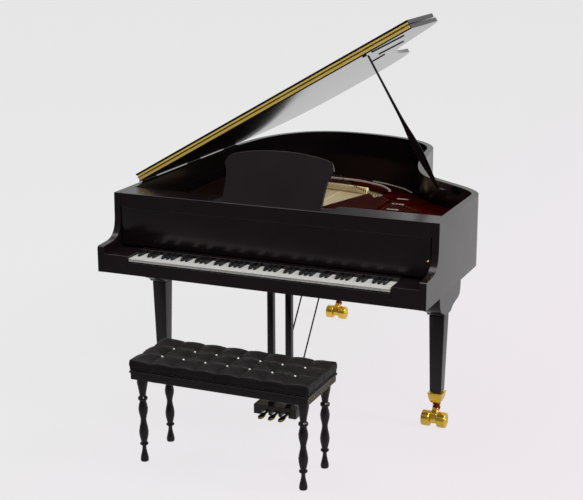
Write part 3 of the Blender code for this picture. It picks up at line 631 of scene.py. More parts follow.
def make_spine_hinges():
    """Butt hinges on the bass side: alternate knuckles on one pin."""
    pitch = 2 * SPINE_HINGE_HALF / SPINE_KNUCKLES
    gap = 0.04
    for i, y in enumerate(SPINE_HINGES):
        fixed, moving = bmesh.new(), bmesh.new()
        for k in range(SPINE_KNUCKLES):
            holder = moving if k % 2 else fixed
            low = y - SPINE_HINGE_HALF + k * pitch + gap
            add_rod(holder, (HINGE_X, low, HINGE_Z), (HINGE_X, low + pitch - 2 * gap, HINGE_Z), 0.62, 24)
        for end in (-SPINE_HINGE_HALF, SPINE_HINGE_HALF):
            tip = (HINGE_X, y + end, HINGE_Z)
            add_rod(fixed, tip, (HINGE_X, y + end * 1.05, HINGE_Z), 0.5, 20, 0.25)
        piece(f"spine_hinge_{i + 1}_fixed", fixed, "case", LACQUER, replaces=[f"spine_hinge_{i + 1}"])
        piece(f"spine_hinge_{i + 1}_moving", moving, "lid", LACQUER)


def make_rail(inner):
    """The rail in front of the strings, with the pocket that the music desk folds into."""
    front, wall, under, foot = 13.4, 14.9, 77.56, 70
    outline = [(front, under), (front, RIM_TOP), (RAIL_REAR, RIM_TOP), (RAIL_REAR, foot), (wall, foot),
               (wall, under)]
    pocket = box_shape((-DESK_HALF - 1.2, 14.25, 81.5), (DESK_HALF + 1.2, RAIL_REAR + 1, RIM_TOP + 1))
    stand_in("front_rail", cut(side_slab([outline], -inner, inner), [pocket]), LACQUER, 0.2)


def make_case():
    """The rim, the rail, and what surrounds the keys: the bed, the slip, the two blocks, and a black back board
    that is painted shade behind the fallboard.
    """
    make_rim()
    make_spine_hinges()
    inner = HALF_WIDTH - WALL + 0.05
    slip_half = WHITE_KEYS * KEY_PITCH / 2 + 0.15
    bed = box_shape((-inner, 0, CASE_BOTTOM), (inner, 30, KEYBED_TOP))
    stand_in("keybed", bed, LACQUER, 0.15)
    slip = box_shape((-slip_half, FRONT_INSET, BLOCK_FOOT), (slip_half, 1.2, 60.3))
    stand_in("key_slip", slip, LACQUER, 0.15)
    left = box_shape((-inner, FRONT_INSET, BLOCK_FOOT), (-slip_half - 0.1, BLOCK_REAR, BLOCK_TOP))
    stand_in("key_block_left", left, LACQUER, 0.2)
    right = box_shape((slip_half + 0.1, FRONT_INSET, BLOCK_FOOT), (inner, BLOCK_REAR, BLOCK_TOP))
    knob_place, knob_depth = (KNOB_X, KNOB_ROOM_Y), 1.5
    knob_room = rod_shape((*knob_place, BLOCK_TOP - knob_depth), (*knob_place, BLOCK_TOP + knob_depth), 1.0)
    stand_in("key_block_right", cut(right, [knob_room]), LACQUER, 0.12)
    strip = box_shape((-slip_half, 9.6, 61.5), (slip_half, 12.95, 63.02))
    piece("name_board_strip", strip, "case", LACQUER, bevel=0.12)
    # A black board behind the fallboard stands for the shaded inside of the case: painted shade that keeps floor
    # light from showing under the fallboard.
    back = box_shape((-inner, 15.0, BLOCK_FOOT), (inner, 15.6, 70.1))
    piece("key_well_shade_board", back, "case", LACQUER, bevel=0.1)
    buffer = box_shape((-62.85, 33, RIM_TOP - 0.1), (-61.4, 118, RIM_TOP + 0.2))
    piece("spine_buffer", buffer, "case", BUFFER_FELT, bevel=0.06)
    make_rail(inner)
    for name in ("pin_block", "beam_bass", "beam_treble", "key_frame"):
        refine(name, MAPLE, 0.15, 2)


# ---------------- keyboard

WHITE_TOP = 61.73
WHITE_BOTTOM = 60.6
BLACK_TOP = 62.8
BLACK_FRONT = 4.4
NOTCH_FRONT = BLACK_FRONT - 0.1
KEY_REAR = 12.9
BLACK_HALF = 0.52


def key_left(i):
    """The x of a white key's left edge, counting up from the lowest."""
    return (i - WHITE_KEYS / 2) * KEY_PITCH


def has_black_after(i):
    """Whether a black key stands between this white key and the next, counting up from the lowest A."""
    return 0 <= i < WHITE_KEYS - 1 and "ABCDEFG"[i % 7] not in "BE"


def make_white_keys():
    """Each key has a body and a top that stands out over its front, both notched for the black keys."""
    keys = bmesh.new()
    for i in range(WHITE_KEYS):
        left, right = key_left(i) + 0.06, key_left(i + 1) - 0.06
        notch = BLACK_HALF + 0.1
        tail_left = key_left(i) + notch if has_black_after(i - 1) else left
        tail_right = key_left(i + 1) - notch if has_black_after(i) else right
        dip = RANDOM.uniform(-0.02, 0.02)
        body = (0.36, WHITE_BOTTOM, WHITE_TOP - 0.34 + dip)
        top = (0.2, WHITE_TOP - 0.32 + dip, WHITE_TOP + dip)
        for front, low, high in (body, top):
            outline = [(left, front), (right, front), (right, NOTCH_FRONT), (tail_right, NOTCH_FRONT),
                       (tail_right, KEY_REAR), (tail_left, KEY_REAR), (tail_left, NOTCH_FRONT),
                       (left, NOTCH_FRONT)]
            outline = [point for k, point in enumerate(outline) if point != outline[k - 1]]
            join(keys, slab([outline], low, high))
    stand_in("white_keys", keys, IVORY, 0.07, segments=2)


def make_black_keys():
    """Blocks that narrow upwards and slope back at the front."""
    keys = bmesh.new()
    for i in range(WHITE_KEYS):
        if not has_black_after(i):
            continue
        middle = key_left(i + 1) + RANDOM.uniform(-0.015, 0.015)
        low = (middle - BLACK_HALF, BLACK_FRONT, 61.0)
        high = (middle + BLACK_HALF, KEY_REAR, BLACK_TOP)
        for v in add_box(keys, low, high):
            if v.co.z > 62:
                v.co.x = middle + (v.co.x - middle) * 0.78
                v.co.y = v.co.y + 0.75 if v.co.y < 6 else v.co.y
    stand_in("black_keys", keys, EBONY, 0.14)


def make_fallboard():
    refine("fallboard", LACQUER, 0.2)
    low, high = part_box("fallboard_knob")
    middle = (low + high) / 2
    knob = bmesh.new()
    profile = [(0, 0.8), (0.22, 0.78), (0.36, 0.66), (0.4, 0.5), (0.36, 0.34), (0.2, 0.22), (0.19, 0.02),
               (0.34, -0.08), (0.34, -0.3), (0, -0.3)]
    add_turned(knob, profile, 24)
    place = Matrix.Translation((middle.x, high.y, middle.z)) @ Matrix.Rotation(math.pi / 2, 4, "X") @ SCALE
    stand_in("fallboard_knob", knob, BRASS, 0.0, place)


# ---------------- music desk


def desk_outline():
    """Front view of the desk: a scrolled shoulder on each side under a flat arch."""
    half, top = DESK_HALF, DESK_HEIGHT
    right = [(half - 2.0, -0.4), (half - 2.0, 4.0)]
    right += cubic((half - 1.9, 7), (half - 1.7, 11.5), (half - 1.2, 13.5), (half, 15.4), 10)
    right += cubic((half, 15.4), (half - 0.4, 17.6), (half - 1.4, 18.8), (half - 2.4, 19.2), 10)
    right += cubic((half - 2.4, 19.2), (half - 7, 20.6), (half - 14, top), (0, top), 20) + [(0, top)]
    return right + [(-x, z) for x, z in right[-2::-1]]


def make_desk():
    board = front_slab([desk_outline()], -DESK_THICK / 2, DESK_THICK / 2)
    stand_in("music_desk", board, LACQUER, 0.16, DESK)
    hinges = bmesh.new()
    for x in (-12, 12):
        for start in (x - 2, x - 0.64, x + 0.72):
            add_rod(hinges, (start, 0, 0), (start + 1.3, 0, 0), 0.46, 20)
        add_box(hinges, (x - 2, DESK_THICK / 2, 0.3), (x + 2, DESK_THICK / 2 + 0.12, 2.0))
    piece("music_desk_hinges", hinges, "music_desk", BRASS, DESK, 0.04, segments=2)


# ---------------- lid, its hinges and the prop

LID_THICK = 1.55
LID_FRONT = 31.65
LID_INSET = 0.7
LID_RIGHT = HALF_WIDTH - LID_INSET - HINGE_X
FLAP_AXIS_Y = LID_FRONT - 0.15
FLAP_AXIS_UP = LID_THICK + 0.15
FLAP_DEPTH = 28.8
FLAP_UNDER = FLAP_AXIS_UP + 0.15
PROP_LENGTH = 70.2
PROP_TOP = Vector((107.2, 33.6, -0.9))


def lid_outline():
    """The lid seen from above when closed, x from its hinge line."""
    inset = offset_path(rim_outer(), LID_INSET)
    spine = 0.15
    side = [(max(x - HINGE_X, spine), y) for x, y in inset[1:-1]]
    return [(spine, LID_FRONT)] + side + [(LID_RIGHT, LID_FRONT)]


def make_lid_boards():
    """The two boards, each with a step along its front that the long hinge's leaf fills."""
    step_y = LID_FRONT + 0.55
    step = box_shape((-1, LID_FRONT - 1, 0.42), (LID_RIGHT + 1, step_y, 3))
    board = cut(slab([lid_outline()], 0, LID_THICK), [step] + hinge_rooms(0, 0))
    stand_in("lid_main", board, LID_LACQUER, 0.22, LID)
    far_corner = (LID_RIGHT, LID_FRONT + FLAP_DEPTH, FLAP_UNDER + LID_THICK)
    flap = box_shape((0.15, LID_FRONT, FLAP_UNDER), far_corner)
    step = box_shape((-1, LID_FRONT - 1, 0), (LID_RIGHT + 1, step_y, FLAP_UNDER + 0.9))
    stand_in("lid_flap", cut(flap, [step]), LID_LACQUER, 0.22, LID)


def make_long_hinge():
    """The long brass hinge between the lid's two boards: leaves, screws, and knuckles on one pin."""
    low_leaf, high_leaf, low_barrel, high_barrel = (bmesh.new() for _ in range(4))
    low_end, high_end = 0.6, LID_RIGHT - 0.3
    add_box(low_leaf, (low_end, LID_FRONT, 0.5), (high_end, LID_FRONT + 0.25, 1.45))
    add_box(high_leaf, (low_end, LID_FRONT, 1.95), (high_end, LID_FRONT + 0.25, 2.58))
    knuckles = 42
    pitch = (high_end - low_end) / knuckles
    gap = 0.04
    for k in range(knuckles):
        start, end = low_end + k * pitch + gap, low_end + (k + 1) * pitch - gap
        holder = high_barrel if k % 2 else low_barrel
        add_rod(holder, (start, FLAP_AXIS_Y, FLAP_AXIS_UP), (end, FLAP_AXIS_Y, FLAP_AXIS_UP), 0.17, 16)
        if k % 6 == 1:
            middle = (start + end) / 2
            for leaf, up in ((low_leaf, 0.95), (high_leaf, 2.28)):
                add_rod(leaf, (middle, LID_FRONT - 0.03, up), (middle, LID_FRONT + 0.05, up), 0.15, 12)
    stand_in("lid_hinge_leaf", low_leaf, SATIN_BRASS, 0.05, LID, 2)
    stand_in("flap_hinge_leaf", high_leaf, SATIN_BRASS, 0.05, LID, 2)
    # The knuckles take the dark brass as painted shade between the two gold leaves.
    piece("long_hinge_knuckles", low_barrel, "lid", DARK_BRASS, LID)
    piece("flap_hinge_knuckles", high_barrel, "lid_flap", DARK_BRASS, LID)


def make_prop():
    """A flat stick, widest low down, with its pivot and block at the top and its rests under the lid."""
    widths = smooth_line([(0, 0.38), (0.12, 0.4), (0.25, 0.46), (0.45, 0.64), (0.60, 1.25), (0.71, 1.52),
                          (0.80, 1.32), (0.87, 0.95), (0.93, 0.7), (0.985, 0.52), (1.0, 0.15)], 6)
    right = [(t * PROP_LENGTH, w) for t, w in widths]
    stick = slab([right + [(x, -w) for x, w in reversed(right)]], -0.35, 0.35)
    stand_in("prop_stick", stick, LACQUER, 0.14, PROP)
    pin = bmesh.new()
    add_rod(pin, (0.0, 0, -0.5), (0.0, 0, 0.5), 0.22, 16)
    piece("prop_pivot_pin", pin, "prop", LACQUER, PROP, 0.04)
    block = box_shape((PROP_TOP.x - 1.9, PROP_TOP.y - 1.2, -0.55), (PROP_TOP.x - 0.9, PROP_TOP.y + 1.2, 0))
    stand_in("prop_hinge_block", block, LACQUER, 0.1, LID)
    refine("prop_socket", LACQUER, 0.2)
    rests = bmesh.new()
    thick = 0.14
    for start, end, half in (((107.6, 36.6), (119, 43), 0.5), ((99.7, 63.3), (109.1, 68.2), 0.5),
                             ((89.5, 81.3), (95.8, 79.8), 0.3)):
        start, end = Vector((*start, -thick)), Vector((*end, -thick))
        along = end - start
        turn = Matrix.Translation((start + end) / 2) @ Matrix.Rotation(math.atan2(along.y, along.x), 4, "Z")
        reach = along.length / 2
        add_box(rests, (-reach, -half, -thick), (reach, half, thick), turn)
    piece("prop_rests", rests, "lid", EBONY, LID, 0.08, segments=2)


def make_lid():
    make_lid_boards()
    make_long_hinge()
    make_prop()


# ---------------- inside the case

PLATE_BOTTOM = 71.5
PLATE_TOP = 73.0
SOUNDBOARD_TOP = 70.4
STRING_Z = 73.5
STRING_FRONT = 44.5
STRING_REAR = 116
TENOR_X = -12
WOUND_BELOW_X = -30
DAMPED_BELOW_X = 32
DAMPER_PAD_TOP = 74.25
PIN_TOP = 75.0
PIN_FRONT = 28.5
PIN_ROWS = 3
PIN_ROW_PITCH = 3.6
PIN_PAIR_STEP = 1.4


def plate_opening():
    """The opening that shows the soundboard, from its front round by the treble, tail and bass."""
    front = cubic((-13, 54), (-6, 55), (-2, 57), (1, 61), 8)
    treble = [(1, 61), (10, 92), (14.5, 84.5), (16.2, 88)]
    tail = cubic((16.4, 96.5), (10, 103), (-2, 109), (-14, 110), 14)
    tail += cubic((-14, 110), (-28, 112), (-40, 110), (-46, 101), 12)
    return front + treble + tail + [(-47, 96), (-38, 62), (-34, 54)]


def inside_outline(front_y):
    """The inside of the rim seen from above, from this y to the tail."""
    return offset_path(rim_outer(front_y), WALL + 0.3)


def string_end(x):
    """How far back a string at this x runs: the treble is the shortest."""
    if x < TENOR_X:
        return STRING_REAR - 4 * ((TENOR_X - x) / 46) ** 2
    return STRING_REAR - 62 * ((x - TENOR_X) / 66) ** 0.8


def make_plate():
    """The cast plate, its front bar and raised lip, and the pale lines and pads on it."""
    body = slab([inside_outline(RAIL_REAR + 0.3), plate_opening()], PLATE_BOTTOM, PLATE_TOP)
    stand_in("iron_plate", body, IRON, 0.22)
    raised = bmesh.new()
    add_box(raised, (-INNER_HALF + 0.4, 42.6, PLATE_TOP - 0.2), (INNER_HALF - 0.4, 44.0, 73.75))
    lip_inner = offset_path(rim_outer(46), WALL + 2.3)
    lip_outer = offset_path(rim_outer(46), WALL + 0.5)
    join(raised, slab([lip_outer + lip_inner[::-1]], PLATE_TOP - 0.1, PLATE_TOP + 0.35))
    piece("iron_plate_ribs", raised, "case", IRON, bevel=0.2)
    lines = bmesh.new()
    near = [(16.9, 96.6), (15.2, 99.4), (9.8, 105.0), (-1.5, 110.4), (-14, 111.8), (-30, 112.4)]
    add_tube(lines, [(x, y, PLATE_TOP + 0.15) for x, y in smooth_line(near, 10)], 0.6)
    far = [(4, 112.5), (11, 109.5), (16, 106.5), (21.6, 102.5), (26.5, 97)]
    add_tube(lines, [(x, y, PLATE_TOP + 0.06) for x, y in smooth_line(far, 8)], 0.32)
    piece("plate_gilt_lines", lines, "case", PALE_EDGE)
    marks = bmesh.new()
    for x, y in ((26.5, 85.0), (27.5, 75.8), (28.5, 66.5)):
        add_box(marks, (x - 2.4, y - 0.5, PLATE_TOP - 0.05), (x + 2.4, y + 0.5, PLATE_TOP + 0.25))
    piece("plate_gilt_pads", marks, "case", PALE_EDGE, bevel=0.2)


def string_places():
    """The x of every course of strings, with wider gaps between the four groups."""
    pitch = 1.55
    places = [-57 + i * pitch for i in range(71)]
    return [x for x in places if min(abs(x - gap) for gap in (-31.5, -1.2, 24, 43)) > 1.1]


def make_strings():
    """Wound bass strings one to a course and steel ones in pairs, from their pins to the plate's tail."""
    steel, copper, pins, hitches, agraffes = (bmesh.new() for _ in range(5))
    for i, x in enumerate(string_places()):
        end = string_end(x)
        wires, holder, radius = (-0.22, 0.22), steel, 0.035
        if x < WOUND_BELOW_X:
            wires, holder, radius = (0,), copper, 0.12
        for shift in wires:
            at = x + shift
            pin_y = PIN_FRONT + i % PIN_ROWS * PIN_ROW_PITCH + (shift > 0) * PIN_PAIR_STEP
            add_rod(holder, (at, STRING_FRONT, STRING_Z), (at, end, STRING_Z), radius, 8)
            add_rod(steel, (at, pin_y, 73.9), (at, STRING_FRONT, STRING_Z), 0.05, 6)
            add_pin(pins, at, pin_y, PLATE_TOP - 0.1, PIN_TOP, 0.26, top_radius=0.22)
            add_pin(steel, at, pin_y, 73.75, 74.05, 0.33)
        add_pin(hitches, x, end - 0.1, PLATE_TOP - 0.1, 73.85, 0.24, top_radius=0.2)
        low = (x - 0.45, STRING_FRONT - 0.35, PLATE_TOP)
        add_box(agraffes, low, (x + 0.45, STRING_FRONT + 0.35, 73.85))
    piece("strings_steel", steel, "case", STEEL, replaces=["strings"])
    piece("strings_copper", copper, "case", COPPER)
    piece("tuning_pins", pins, "case", STEEL)
    piece("hitch_pins", hitches, "case", DARK_BRASS)
    piece("agraffes", agraffes, "case", DARK_BRASS, bevel=0.08, segments=2)


def make_dampers():
    """A damper over each course up to the high treble: a felt pad under a lacquered head."""
    heads, pads = bmesh.new(), bmesh.new()
    for x in string_places():
        if x > DAMPED_BELOW_X:
            break
        lean = RANDOM.uniform(-0.04, 0.04)
        add_box(pads, (x - 0.5 + lean, 47.2, STRING_Z + 0.1), (x + 0.5 + lean, 50.2, DAMPER_PAD_TOP))
        add_box(heads, (x - 0.55 + lean, 47.0, DAMPER_PAD_TOP), (x + 0.55 + lean, 50.4, 75.2))
    piece("damper_heads", heads, "case", LACQUER, bevel=0.15, replaces=["damper_rail"])
    piece("damper_felts", pads, "case", FELT, bevel=0.1, segments=2)


def make_bridge():
    """A curved wooden bridge with a row of pins along its top."""
    line = cubic((-43, 98), (-32, 103), (-12, 104.5), (8, 97.5), 30)
    far = offset_path(line, -2.0)
    block = slab([line + far[::-1]], SOUNDBOARD_TOP + 0.3, 73.1)
    stand_in("bridge", block, BRIDGE_WOOD, 0.25)
    pins = bmesh.new()
    for one, two in zip(line[::2], far[::2]):
        middle = (Vector(one) + Vector(two)) / 2
        add_pin(pins, middle.x, middle.y, 73.0, 73.4, 0.12, 8)
    piece("bridge_pins", pins, "case", STEEL)


def make_inside():
    board = slab([inside_outline(44.3)], SOUNDBOARD_TOP - 1.0, SOUNDBOARD_TOP)
    stand_in("soundboard", board, SPRUCE, 0.1)
    make_plate()
    make_strings()
    make_dampers()
    make_bridge()


# ---------------- legs, casters and lyre

LEG_CENTRES = {name: sum(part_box(f"leg_{name}"), Vector()) / 2 for name in ("left", "right", "tail")}
LEG_REACH = {"left": (11.0, 16.0), "right": (11.0, 16.0), "tail": (11.0, 14.0)}
WHEEL_RADIUS = 2.9
PEDAL_TIP = -12.1


def leg_block_outline(front, back):
    """Side view of a leg's block about the leg: flat on top, curved in to the leg below."""
    top, low, half = CASE_BOTTOM - 0.3, 43.3, 3.6
    front_knee = (-half - 3.4, low + 2.1)
    points = [(-front, top)]
    points += cubic((-front, top), (-front + 0.2, low + 6), (-front + 0.8, low + 3.4), front_knee, 10)
    points += cubic(front_knee, (-half - 1.4, low + 1.6), (-half - 0.8, low + 0.9), (-half, low), 8)
    points += [(-half, low), (half, low)]
    back_knee, back_heel = (back - 4.6, low + 2.5), (back - 0.9, low + 4.4)
    points += cubic((half, low), (half + 1.6, low + 1.2), (half + 3.6, low + 2.0), back_knee, 8)
    points += cubic(back_knee, (back - 2.4, low + 2.8), (back - 1.6, low + 3.2), back_heel, 8)
    return points + cubic(back_heel, (back - 0.2, low + 6), (back, low + 8), (back, top), 8) + [(back, top)]


def make_leg(name):
    centre = LEG_CENTRES[name]
    place = Matrix.Translation((centre.x, centre.y, 0)) @ SCALE
    block = side_slab([leg_block_outline(*LEG_REACH[name])], -3.4, 3.4)
    stand_in(f"leg_block_{name}", block, LACQUER, 0.3, place)
    refine(f"leg_{name}", LACQUER, 0.3, 4)
    make_ferrule(name, place)
    make_caster(name, place)


def make_ferrule(name, place):
    """A square brass shoe: a lip, a flare and a small foot, lofted from square sections."""
    bm = bmesh.new()
    corners = ((-1, -1), (1, -1), (1, 1), (-1, 1))
    sections = [(12.8, 2.5), (12.8, 2.82), (12.3, 2.82), (12.15, 2.68), (11.2, 2.55), (10.2, 2.3),
                (9.4, 2.0), (8.8, 1.62)]
    rings = [[bm.verts.new((x * half, y * half, z)) for x, y in corners] for z, half in sections]
    for upper, lower in zip(rings, rings[1:]):
        for k in range(4):
            bm.faces.new((lower[k], lower[(k + 1) % 4], upper[(k + 1) % 4], upper[k]))
    bm.faces.new(rings[0])
    bm.faces.new(rings[-1][::-1])
    stand_in(f"ferrule_{name}", bm, BRASS, 0.16, place)


def arc(centre, radius, start, step, count):
    """Points of a circle at even angles, given in degrees."""
    turns = [math.radians(start + step * k) for k in range(count)]
    return [(centre[0] + radius * math.cos(a), centre[1] + radius * math.sin(a)) for a in turns]


def wheel_pair():
    """Two wheels on one hub, as a half section (radius, along the axle): dished faces and round treads."""
    outer, inner, edge = 4.6, 1.45, 0.45
    face = [(0, outer), (0.45, 4.57), (0.62, 4.42), (0.65, 4.2), (1.5, 4.15), (1.95, 4.3), (2.1, 4.55),
            (2.35, outer)]
    tread = arc((WHEEL_RADIUS - edge, outer - edge), edge, 90, -15, 7)
    tread += arc((WHEEL_RADIUS - edge, inner + edge), edge, 0, -15, 7)
    half = face + tread + [(1.0, inner), (0.6, 1.3), (0.5, 1.15)]
    return half + [(r, -z) for r, z in reversed(half)]


def make_caster(name, place):
    """A horn that swivels under the ferrule on its stem, and two wheels with dished hubs on one axle."""
    outline = [(-1.2, 7.0)] + cubic((-1.2, 7.0), (-2.2, 6.4), (-3.6, 5.8), (-4.1, 4.0), 8)
    outline += arc((-2.4, 2.9), 1.75, 155, 15, 14)
    outline += cubic((-0.75, 3.4), (-0.4, 4.6), (0.6, 5.6), (1.15, 7.0), 6) + [(1.15, 7.0)]
    horn = side_slab([outline], -1.05, 1.05)
    stand_in(f"caster_horn_{name}", horn, BRASS, 0.12, place, 2)
    stem = bmesh.new()
    neck = [(0, 8.6), (1.45, 8.6), (1.5, 8.1), (1.25, 7.9), (1.25, 7.3), (1.45, 7.1), (1.5, 6.5),
            (1.3, 5.9), (0, 5.8)]
    add_turned(stem, neck, 32)
    piece(f"caster_stem_{name}", stem, f"caster_horn_{name}", RED_BRONZE, place, sharp=50)
    wheels = bmesh.new()
    add_turned(wheels, wheel_pair(), 48)
    middle = Matrix.Translation(JOINTS[f"caster_roll_{name}"]["pos_m"])
    axle = middle @ Matrix.Rotation(math.pi / 2, 4, "Y") @ SCALE
    stand_in(f"caster_wheels_{name}", wheels, BRASS, 0.0, axle, sharp=50)


def make_pedal(name):
    """A brass pedal: a thin stem that swells to a rounded spoon."""
    place = Matrix.Translation(JOINTS[f"pedal_{name}_press"]["pos_m"]) @ SCALE
    side = cubic((-0.5, 6.2), (-0.55, 4.4), (-1.1, 4.0), (-1.1, 2.1), 8)
    side += cubic((-1.1, 2.1), (-1.1, 0.6), (-0.6, 0), (0, 0), 8)
    left = [(-0.6, 0.8)] + [(x, PEDAL_TIP + y) for x, y in side]
    outline = left + [(0, PEDAL_TIP)] + [(-x, y) for x, y in reversed(left)]
    stand_in(f"pedal_{name}", slab([outline], -0.42, 0.42), DARK_BRASS, 0.24, place, 4)


def make_lyre():
    """The pedal lyre, with nuts on its two brace rods, and its three pedals."""
    for name in ("lyre_top_block", "lyre_post_left", "lyre_post_right", "pedal_box"):
        refine(name, LACQUER, 0.22)
    for name in ("lyre_brace_left", "lyre_brace_right"):
        refine(name, LACQUER, 0.0)
    ends = bmesh.new()
    for x in (-3.67, 3.67):
        start, end = Vector((x, 27.0, 5.55)), Vector((x, 65, 54.8))
        along = (end - start).normalized()
        add_rod(ends, start - along * 0.3, start + along * 0.9, 0.45, 6)
        add_rod(ends, end - along * 0.9, end - along * 0.2, 0.5, 6)
    piece("brace_nuts", ends, "case", BRASS, bevel=0.06, segments=2)
    for name in ("left", "middle", "right"):
        make_pedal(name)


# ---------------- bench

BENCH_LEG = [(0, 30.5), (1.9, 30.5), (1.9, 29.0), (1.75, 28.3), (1.3, 25.8), (1.1, 24.4), (1.15, 24.05),
             (1.6, 23.75), (1.68, 23.3), (1.6, 22.85), (1.15, 22.5), (1.15, 22.0), (1.42, 21.0),
             (1.66, 19.6), (1.55, 18.2), (1.2, 16.8), (0.97, 15.5), (1.1, 14.2), (1.45, 12.6), (1.66, 11.0),
             (1.55, 9.6), (1.2, 8.0), (1.0, 7.15), (1.05, 6.9), (1.42, 6.75), (1.46, 6.5), (1.4, 6.2),
             (0.85, 5.9), (0.68, 5.3), (0.74, 4.4), (0.98, 3.2), (1.24, 2.1), (1.42, 1.1), (1.42, 0.45),
             (1.3, 0.02), (0, 0)]
SEAT_HALF_X = 32.9
SEAT_HALF_Y = 12.7
SEAT_BOTTOM = 34.3
SEAT_TOP = 38.2
BUTTON_COLUMNS = 7
BUTTON_X = 8.3
BUTTON_Y = 4.3


def buttons():
    half = (BUTTON_COLUMNS - 1) / 2
    return [((i - half) * BUTTON_X, y) for i in range(BUTTON_COLUMNS) for y in (-BUTTON_Y, BUTTON_Y)]


def seat_height(x, y):
    """The padded top: a crown, pulled down at the buttons and along the folds between them."""
    edge = min(SEAT_HALF_X - abs(x), SEAT_HALF_Y - abs(y))
    crown = 1 - 0.35 * math.exp(-max(edge, 0) / 1.3)
    column = abs((x / BUTTON_X + 0.5) % 1 - 0.5) * BUTTON_X
    if abs(x) > 3.5 * BUTTON_X:
        column = abs(x) - 3 * BUTTON_X
    row = min(abs(y - BUTTON_Y), abs(y + BUTTON_Y))
    wide, sharp = (max(math.exp(-((d / width) ** 2)) for d in (column, row)) for width in (2.2, 0.5))
    fold = 0.50 * wide + 0.28 * sharp
    dimple = max(math.exp(-(((x - bx) ** 2 + (y - by) ** 2) / 2.2)) for bx, by in buttons())
    wrinkle = noise.noise(Vector((x * 0.45, y * 0.45, 3.1))) * 0.12
    wrinkle += noise.noise(Vector((x * 1.6, y * 1.6, 7.7))) * 0.05
    return SEAT_TOP - 0.8 + (0.95 - fold - 0.5 * dimple + wrinkle) * crown - 0.5 * (1 - crown)


def at_edge(value, half):
    return abs(abs(value) - half) < 1e-4


def side_push(x, y, t):
    """How far the seat's side stands out, a share t of the way down: a swell, drawn in at each fold."""
    pitch, along = (BUTTON_X, x) if at_edge(y, SEAT_HALF_Y) else (2 * BUTTON_Y, y)
    swell = 0.42 * math.sin(math.pi * min(t * 1.15, 1))
    from_fold = abs((along / pitch + 0.5) % 1 - 0.5) * pitch
    return swell - 0.3 * math.exp(-((from_fold / 0.5) ** 2)) * math.sin(math.pi * t)


def cushion_shape():
    """A fine grid for the top and rings of points down the sides."""
    columns, rows, levels = 230, 92, 8
    bm = bmesh.new()
    grid = []
    for j in range(rows + 1):
        y = (2 * j / rows - 1) * SEAT_HALF_Y
        line = [(2 * i / columns - 1) * SEAT_HALF_X for i in range(columns + 1)]
        grid.append([bm.verts.new((x, y, seat_height(x, y))) for x in line])
    for one, two in zip(grid, grid[1:]):
        for i in range(columns):
            bm.faces.new((one[i], one[i + 1], two[i + 1], two[i]))
    border = grid[0][:-1] + [line[-1] for line in grid[:-1]]
    border += grid[-1][:0:-1] + [line[0] for line in grid[:0:-1]]
    ring = border
    for level in range(1, levels + 1):
        t = level / levels
        lower = []
        for v in border:
            x, y, top = v.co
            push = side_push(x, y, t)
            dx = math.copysign(push, x) if at_edge(x, SEAT_HALF_X) else 0
            dy = math.copysign(push, y) if at_edge(y, SEAT_HALF_Y) else 0
            lower.append(bm.verts.new((x + dx, y + dy, top + (SEAT_BOTTOM - top) * t)))
        for k in range(len(border)):
            n = (k + 1) % len(border)
            bm.faces.new((ring[n], ring[k], lower[k], lower[n]))
        ring = lower
    bm.faces.new(ring[::-1])
    bmesh.ops.recalc_face_normals(bm, faces=bm.faces)
    return bm


def make_cushion():
    """The padded seat, its buttons, and the piping round its lower edge."""
    cushion = stand_in("bench_cushion", cushion_shape(), LEATHER, 0.0, BENCH, sharp=80)
    studs = bmesh.new()
    profile = [(0, 0.5), (0.2, 0.46), (0.34, 0.33), (0.4, 0.15), (0.34, 0.0), (0, -0.3)]
    for x, y in buttons():
        add_turned(studs, profile, 20, Matrix.Translation((x, y, seat_height(x, y) + 0.12)))
    piece("bench_buttons", studs, "bench", PEARL, BENCH)
    corner = 1.0
    path = []
    for k, (x, y) in enumerate(((1, 1), (-1, 1), (-1, -1), (1, -1))):
        centre = (x * (SEAT_HALF_X - corner), y * (SEAT_HALF_Y - corner))
        path += [(*point, SEAT_BOTTOM + 0.12) for point in arc(centre, corner, 90 * k, 15, 7)]
    piping = bmesh.new()
    add_tube(piping, path + [path[0]], 0.26, 10)
    piece("bench_piping", piping, "bench", LEATHER, BENCH)


def make_bench():
    for name in [name for name in frame["nodes"] if name.startswith("bench_leg_")]:
        low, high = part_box(name)
        leg = bmesh.new()
        add_turned(leg, BENCH_LEG, 40)
        place = Matrix.Translation((*((low + high) / 2).xy, 0)) @ SCALE
        stand_in(name, leg, LACQUER, 0.0, place, sharp=50)
    rail = bmesh.new()
    half_x, half_y = (BENCH_HIGH - BENCH_LOW).xy / 2 / MM
    add_box(rail, (-half_x + 0.35, -half_y + 0.35, 30.8), (half_x - 0.35, half_y - 0.35, 33.1))
    add_box(rail, (-half_x, -half_y, 33.1), (half_x, half_y, 34.0))
    stand_in("bench_frame", rail, LACQUER, 0.25, BENCH)
    make_cushion()


# ---------------- stage, light and camera


def floor_glow(tree, strength, colour=(1.0, 1.0, 1.0, 1.0)):
    made = tree.nodes.new("ShaderNodeEmission")
    feed(tree, made.inputs["Color"], colour)
    feed(tree, made.inputs["Strength"], strength)
    return made.outputs["Emission"]


